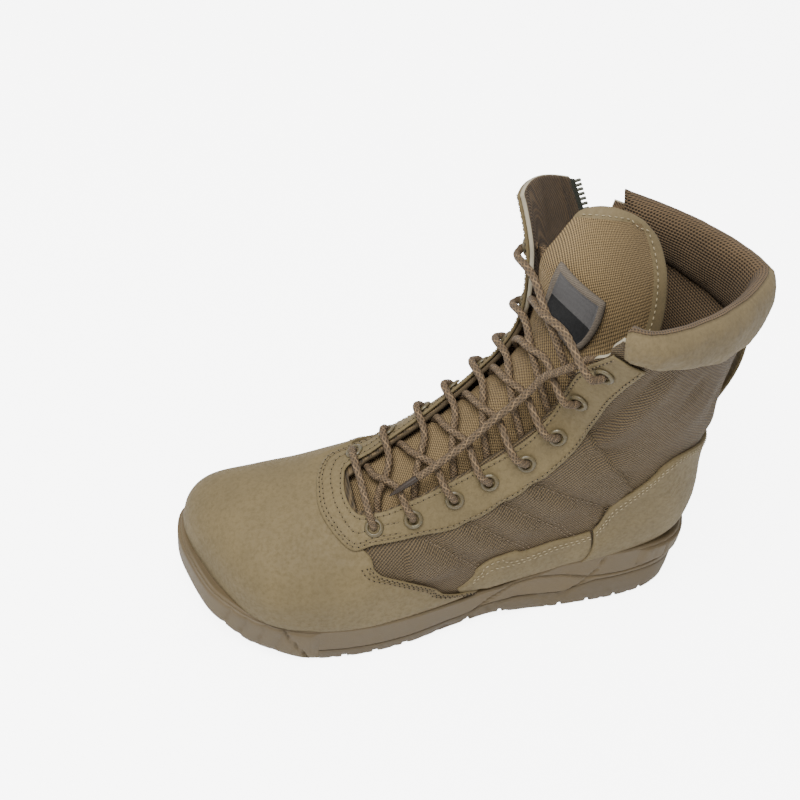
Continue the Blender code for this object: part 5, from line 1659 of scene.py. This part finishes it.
def build_stitches():
    """Every row of stitches on the upper, joined by what it holds."""
    def inside(s):
        return spline(EYESTAY, s)[:2]

    def outside(s):
        return spline(EYESTAY, s)[2:]

    rows = [beside(outside, inside, FIRST_ROW, eyestay_top, 500),
            beside(inside, outside, FIRST_ROW, eyestay_top, 500)]
    apron = part_of(outside, *APRON_PART), part_of(inside, *APRON_PART)
    for inset in (0.0042, 0.0098):
        rows.append(beside(*apron, inset, eyestay_top, 240))
    for low, high in ((-0.985, -0.47), (0.30, 0.985)):
        for inset in (0.0016, 0.0034, 0.0062):
            rows.append(beside(vamp_line(1.0, low, high), vamp_line(0.8, low, high), inset, on_vamp, 240))
    leather = sew("leather_stitches", rows, FINISH["leather_thread"])

    pale = []
    for inset in (FIRST_ROW, 0.0040):
        pale.append(beside(lambda s: counter_grid(s, 1.0), lambda s: counter_grid(s, 0.4), inset,
                           lambda u, v: counter_top(0.94), 300))
        for side in (-1, 1):
            top = lambda s, side=side: (spline(RAND_TOP, 0.12 + 0.88 * s)[0],
                                        side * spline(RAND_TOP, 0.12 + 0.88 * s)[1])
            low = lambda s, top=top, side=side: (top(s)[0] - 0.01, top(s)[1] + side * 0.08)
            pale.append(beside(top, low, inset - 0.0004, lambda u, v: rand_top(u), 140))
    sew("pale_stitches", pale, FINISH["thread"], holes=False)

    ribs = []
    for side, (u0, v0, u1, v1), across in product((1, -1), RIBS, (-1, 1)):
        line = [(u0 + (u1 - u0) * i / 40, (v0 + (v1 - v0) * i / 40) * side) for i in range(41)]
        points = []
        for k, (u, v) in enumerate(line):
            ahead = skin(*line[min(k + 1, 40)]) - skin(*line[max(k - 1, 0)])
            aside = ahead.cross(outward(u, v)).normalized() * RIB_WIDE * across
            points.append(skin(u, v) + aside + outward(u, v) * (relief(u, v) + 0.0004))
        ribs.append(points)
    climb = [ZIP_LOW + 0.02 + (0.90 - ZIP_LOW) * i / 120 for i in range(121)]
    for far in (-0.034, -0.044, 0.034, 0.044):
        ribs.append([lifted(u, zip_v(u) + far, relief(u, zip_v(u) + far) + 0.0003) for u in climb])
    cloth = sew("nylon_stitches", ribs, FINISH["rib_thread"], holes=False)

    strap_rows = []
    near, far = STRAP_V[0] + STRAP_END, STRAP_V[1] - STRAP_END
    low, high = STRAP_LOW + STRAP_ROW, STRAP_HIGH - STRAP_ROW
    for u in (low, high):
        line = [near + (far - near) * i / 120 for i in range(121)]
        strap_rows.append([lifted(u, v, strap_height(v) + 0.0020) for v in line])
    for v in (near, STRAP_V[0] + 0.030, far):
        line = [low + (high - low) * i / 20 for i in range(21)]
        strap_rows.append([lifted(u, v, strap_height(v) + 0.0020) for u in line])
    sew("strap_stitches", strap_rows, FINISH["thread"])

    aside, head = TONGUE_BORDER - 0.04, TONGUE_HEAD + 0.012
    places = [(0.60 + (head - 0.03 - 0.60) * i / 80, aside, 0.0003) for i in range(81)]
    for i in range(1, 11):
        angle = math.pi / 2 * i / 10
        places.append((head - 0.03 * math.cos(angle), aside + 0.25 * math.sin(angle) ** 2, 0.0002))
    places += [(head, aside + 0.25 + (0.75 - aside - 0.25) * i / 80, 0.0001) for i in range(1, 81)]
    border = [on_tongue(share, across, TONGUE_PAD / 2 + high) for share, across, high in places]
    inset = 0.04
    corners = [(inset, inset), (1 - inset, inset), (1 - inset, 1 - inset), (inset, 1 - inset), (inset, inset)]
    edge = []
    for (p, q), (r, s) in zip(corners, corners[1:]):
        edge += [patch_place(p + (r - p) * i / 30, q + (s - q) * i / 30, 0.0014) for i in range(30)]
    sew("tongue_stitches", [border], FINISH["thread"], holes=False)
    sew("patch_stitches", [edge], FINISH["patch_edge"], holes=False)


# Stage

VIEW_TURN, VIEW_HEIGHT, VIEW_ROLL = -18.37, 43.43, 8.01
VIEW_DISTANCE, VIEW_LENS = 0.6765, 53.95
VIEW_AIM = Vector((-0.02572, 0.03154, 0.11646)) - CENTRE


def build_camera():
    turn, height, roll = (math.radians(a) for a in (VIEW_TURN, VIEW_HEIGHT, VIEW_ROLL))
    back = Vector((math.sin(turn) * math.cos(height), -math.cos(turn) * math.cos(height), math.sin(height)))
    right = Vector((math.cos(turn), math.sin(turn), 0))
    up = back.cross(right)
    right, up = right * math.cos(roll) + up * math.sin(roll), up * math.cos(roll) - right * math.sin(roll)
    data = bpy.data.cameras.new("Camera")
    data.lens = VIEW_LENS
    data.sensor_width = 36
    data.clip_start, data.clip_end = 0.01, 50
    camera = bpy.data.objects.new("Camera", data)
    bpy.context.scene.collection.objects.link(camera)
    camera.matrix_world = placed((right, up, back), VIEW_AIM + back * VIEW_DISTANCE)
    bpy.context.scene.camera = camera


def soft_light(name, place, size, power, colour=(1, 1, 1)):
    """Square area light that looks at the boot."""
    data = bpy.data.lights.new(name, "AREA")
    data.size = size
    data.energy = power
    data.color = colour
    light = bpy.data.objects.new(name, data)
    bpy.context.scene.collection.objects.link(light)
    light.location = place
    light.rotation_euler = (Vector(place) - Vector((0, 0, 0.08))).to_track_quat("Z", "Y").to_euler()


FLOOR_GLOW, FLOOR_WHITE = 0.25, 6.0     # how much the floor lights the boot, and how white the camera sees it


def build_stage():
    """Pale floor, soft lights and the camera at the photo's angle."""
    build_camera()
    floor = bmesh.new()
    bmesh.ops.create_grid(floor, x_segments=4, y_segments=4, size=6)
    data = bpy.data.meshes.new("floor")
    floor.to_mesh(data)
    floor.free()
    new, tree, shader, _ = start("Matt paper floor", 0.9)
    shader.inputs["Base Color"].default_value = linear("F8F8F6")
    shader.inputs["Emission Color"].default_value = (1, 1, 1, 1)
    seen = add_node(tree, "ShaderNodeLightPath").outputs["Is Camera Ray"]
    tree.links.new(remap(tree, seen, 0, 1, FLOOR_GLOW, FLOOR_WHITE), shader.inputs["Emission Strength"])
    data.materials.append(new)
    piece = bpy.data.objects.new("floor", data)
    bpy.context.scene.collection.objects.link(piece)
    soft_light("Key", (-0.45, -0.35, 1.45), 0.8, 33)
    soft_light("Fill", (1.0, -0.7, 0.7), 1.2, 1)
    soft_light("Back", (0.2, 1.2, 1.1), 1.2, 6)
    world = bpy.data.worlds.new("Room") if not bpy.context.scene.world else bpy.context.scene.world
    bpy.context.scene.world = world
    world.use_nodes = True
    ground = world.node_tree.nodes["Background"]
    ground.inputs["Color"].default_value = (1, 1, 1, 1)
    ground.inputs["Strength"].default_value = 0.6


# The add-on

def look(name, about, code):
    """Colour that a user would change."""
    return FloatVectorProperty(name=name, description=about, subtype="COLOR", size=4, min=0, max=1,
                               default=linear(code))


class BootLooks(bpy.types.PropertyGroup):
    """Colours and sizes that a user would change."""
    leather: look("Leather", "Nubuck of the overlays", "685A3B")
    collar: look("Collar", "Softer nubuck of the collar and the tongue's border", "695B3E")
    nylon: look("Nylon", "Woven cloth of the shaft", "54452D")
    lining: look("Lining", "Spacer mesh inside", "604D35")
    rubber: look("Rubber", "Moulded sole", "584A31")
    laces: look("Laces", "Ground colour of the braid", "5E4C35")
    yarn: FloatProperty(name="Yarn spacing", description="Distance between the nylon's yarns", default=0.0011,
                        min=0.0005, max=0.003, subtype="DISTANCE", unit="LENGTH")


class BOOT_OT_finishes(bpy.types.Operator):
    """Mix the boot's materials from its colours"""
    bl_idname = "boot.mix_finishes"
    bl_label = "Finishes"

    def execute(self, context):
        FINISH.clear()
        FINISH.update(finishes(context.scene.boot_looks))
        return {"FINISHED"}


class BOOT_OT_stage(bpy.types.Operator):
    """Set the floor, the lights and the camera"""
    bl_idname = "boot.build_stage"
    bl_label = "Stage"

    def execute(self, context):
        build_stage()
        return {"FINISHED"}


class BOOT_OT_laces(bpy.types.Operator):
    """Thread the laces and let their free ends hang"""
    bl_idname = "boot.build_laces"
    bl_label = "Laces"

    def execute(self, context):
        build_free_ends()
        build_laces()
        return {"FINISHED"}


class BOOT_OT_sole(bpy.types.Operator):
    """Build the tread, the cup's side and the bumpers"""
    bl_idname = "boot.build_sole"
    bl_label = "Sole"

    def execute(self, context):
        build_outsole()
        build_midsole()
        build_bumpers()
        return {"FINISHED"}


class BOOT_OT_upper(bpy.types.Operator):
    """Build the woven upper and the insole's finish"""
    bl_idname = "boot.build_upper"
    bl_label = "Upper"

    def execute(self, context):
        build_upper()
        build_insole()
        return {"FINISHED"}


class BOOT_OT_overlays(bpy.types.Operator):
    """Lay the leather pieces over the upper"""
    bl_idname = "boot.build_overlays"
    bl_label = "Leather overlays"

    def execute(self, context):
        build_vamp()
        build_counter()
        build_rands()
        build_eyestay()
        return {"FINISHED"}


class BOOT_OT_collar(bpy.types.Operator):
    """Pad the collar"""
    bl_idname = "boot.build_collar"
    bl_label = "Collar"

    def execute(self, context):
        build_collar()
        return {"FINISHED"}


class BOOT_OT_tongue(bpy.types.Operator):
    """Pad the tongue and sew on its bare patch"""
    bl_idname = "boot.build_tongue"
    bl_label = "Tongue"

    def execute(self, context):
        build_tongue()
        build_patch()
        return {"FINISHED"}


class BOOT_OT_eyelets(bpy.types.Operator):
    """Set the eyelets and the vents"""
    bl_idname = "boot.build_eyelets"
    bl_label = "Eyelets"

    def execute(self, context):
        build_eyelets()
        return {"FINISHED"}


class BOOT_OT_zip(bpy.types.Operator):
    """Build the side zip with its slider and pull tab"""
    bl_idname = "boot.build_zip"
    bl_label = "Zip"

    def execute(self, context):
        build_zip()
        build_slider()
        build_pull()
        return {"FINISHED"}


class BOOT_OT_strap(bpy.types.Operator):
    """Build the strap and the pull loop"""
    bl_idname = "boot.build_strap"
    bl_label = "Strap and loop"

    def execute(self, context):
        build_strap()
        build_pull_loop()
        return {"FINISHED"}


class BOOT_OT_stitches(bpy.types.Operator):
    """Sew every row of stitches"""
    bl_idname = "boot.sew_stitches"
    bl_label = "Stitches"

    def execute(self, context):
        build_stitches()
        return {"FINISHED"}


STEPS = (BOOT_OT_finishes, BOOT_OT_stage, BOOT_OT_laces, BOOT_OT_sole, BOOT_OT_upper, BOOT_OT_overlays,
         BOOT_OT_collar, BOOT_OT_tongue, BOOT_OT_eyelets, BOOT_OT_zip, BOOT_OT_strap, BOOT_OT_stitches)


class BOOT_PT_sidebar(bpy.types.Panel):
    """Colours, sizes and steps of the boot"""
    bl_idname = "BOOT_PT_sidebar"
    bl_label = "Combat boot"
    bl_space_type = "VIEW_3D"
    bl_region_type = "UI"
    bl_category = "Boot"

    def draw(self, context):
        for name in BootLooks.__annotations__:
            self.layout.prop(context.scene.boot_looks, name)
        for step in STEPS:
            self.layout.operator(step.bl_idname)


def register():
    for item in (BootLooks, *STEPS, BOOT_PT_sidebar):
        bpy.utils.register_class(item)
    bpy.types.Scene.boot_looks = PointerProperty(type=BootLooks)


def unregister():
    del bpy.types.Scene.boot_looks
    for item in (BOOT_PT_sidebar, *reversed(STEPS), BootLooks):
        bpy.utils.unregister_class(item)


def main():
    register()
    for step in STEPS:
        group, call = step.bl_idname.split(".")
        if getattr(getattr(bpy.ops, group), call)() != {"FINISHED"}:
            raise RuntimeError(step.bl_label + " wasn't finished")


if __name__ == "__main__":
    main()
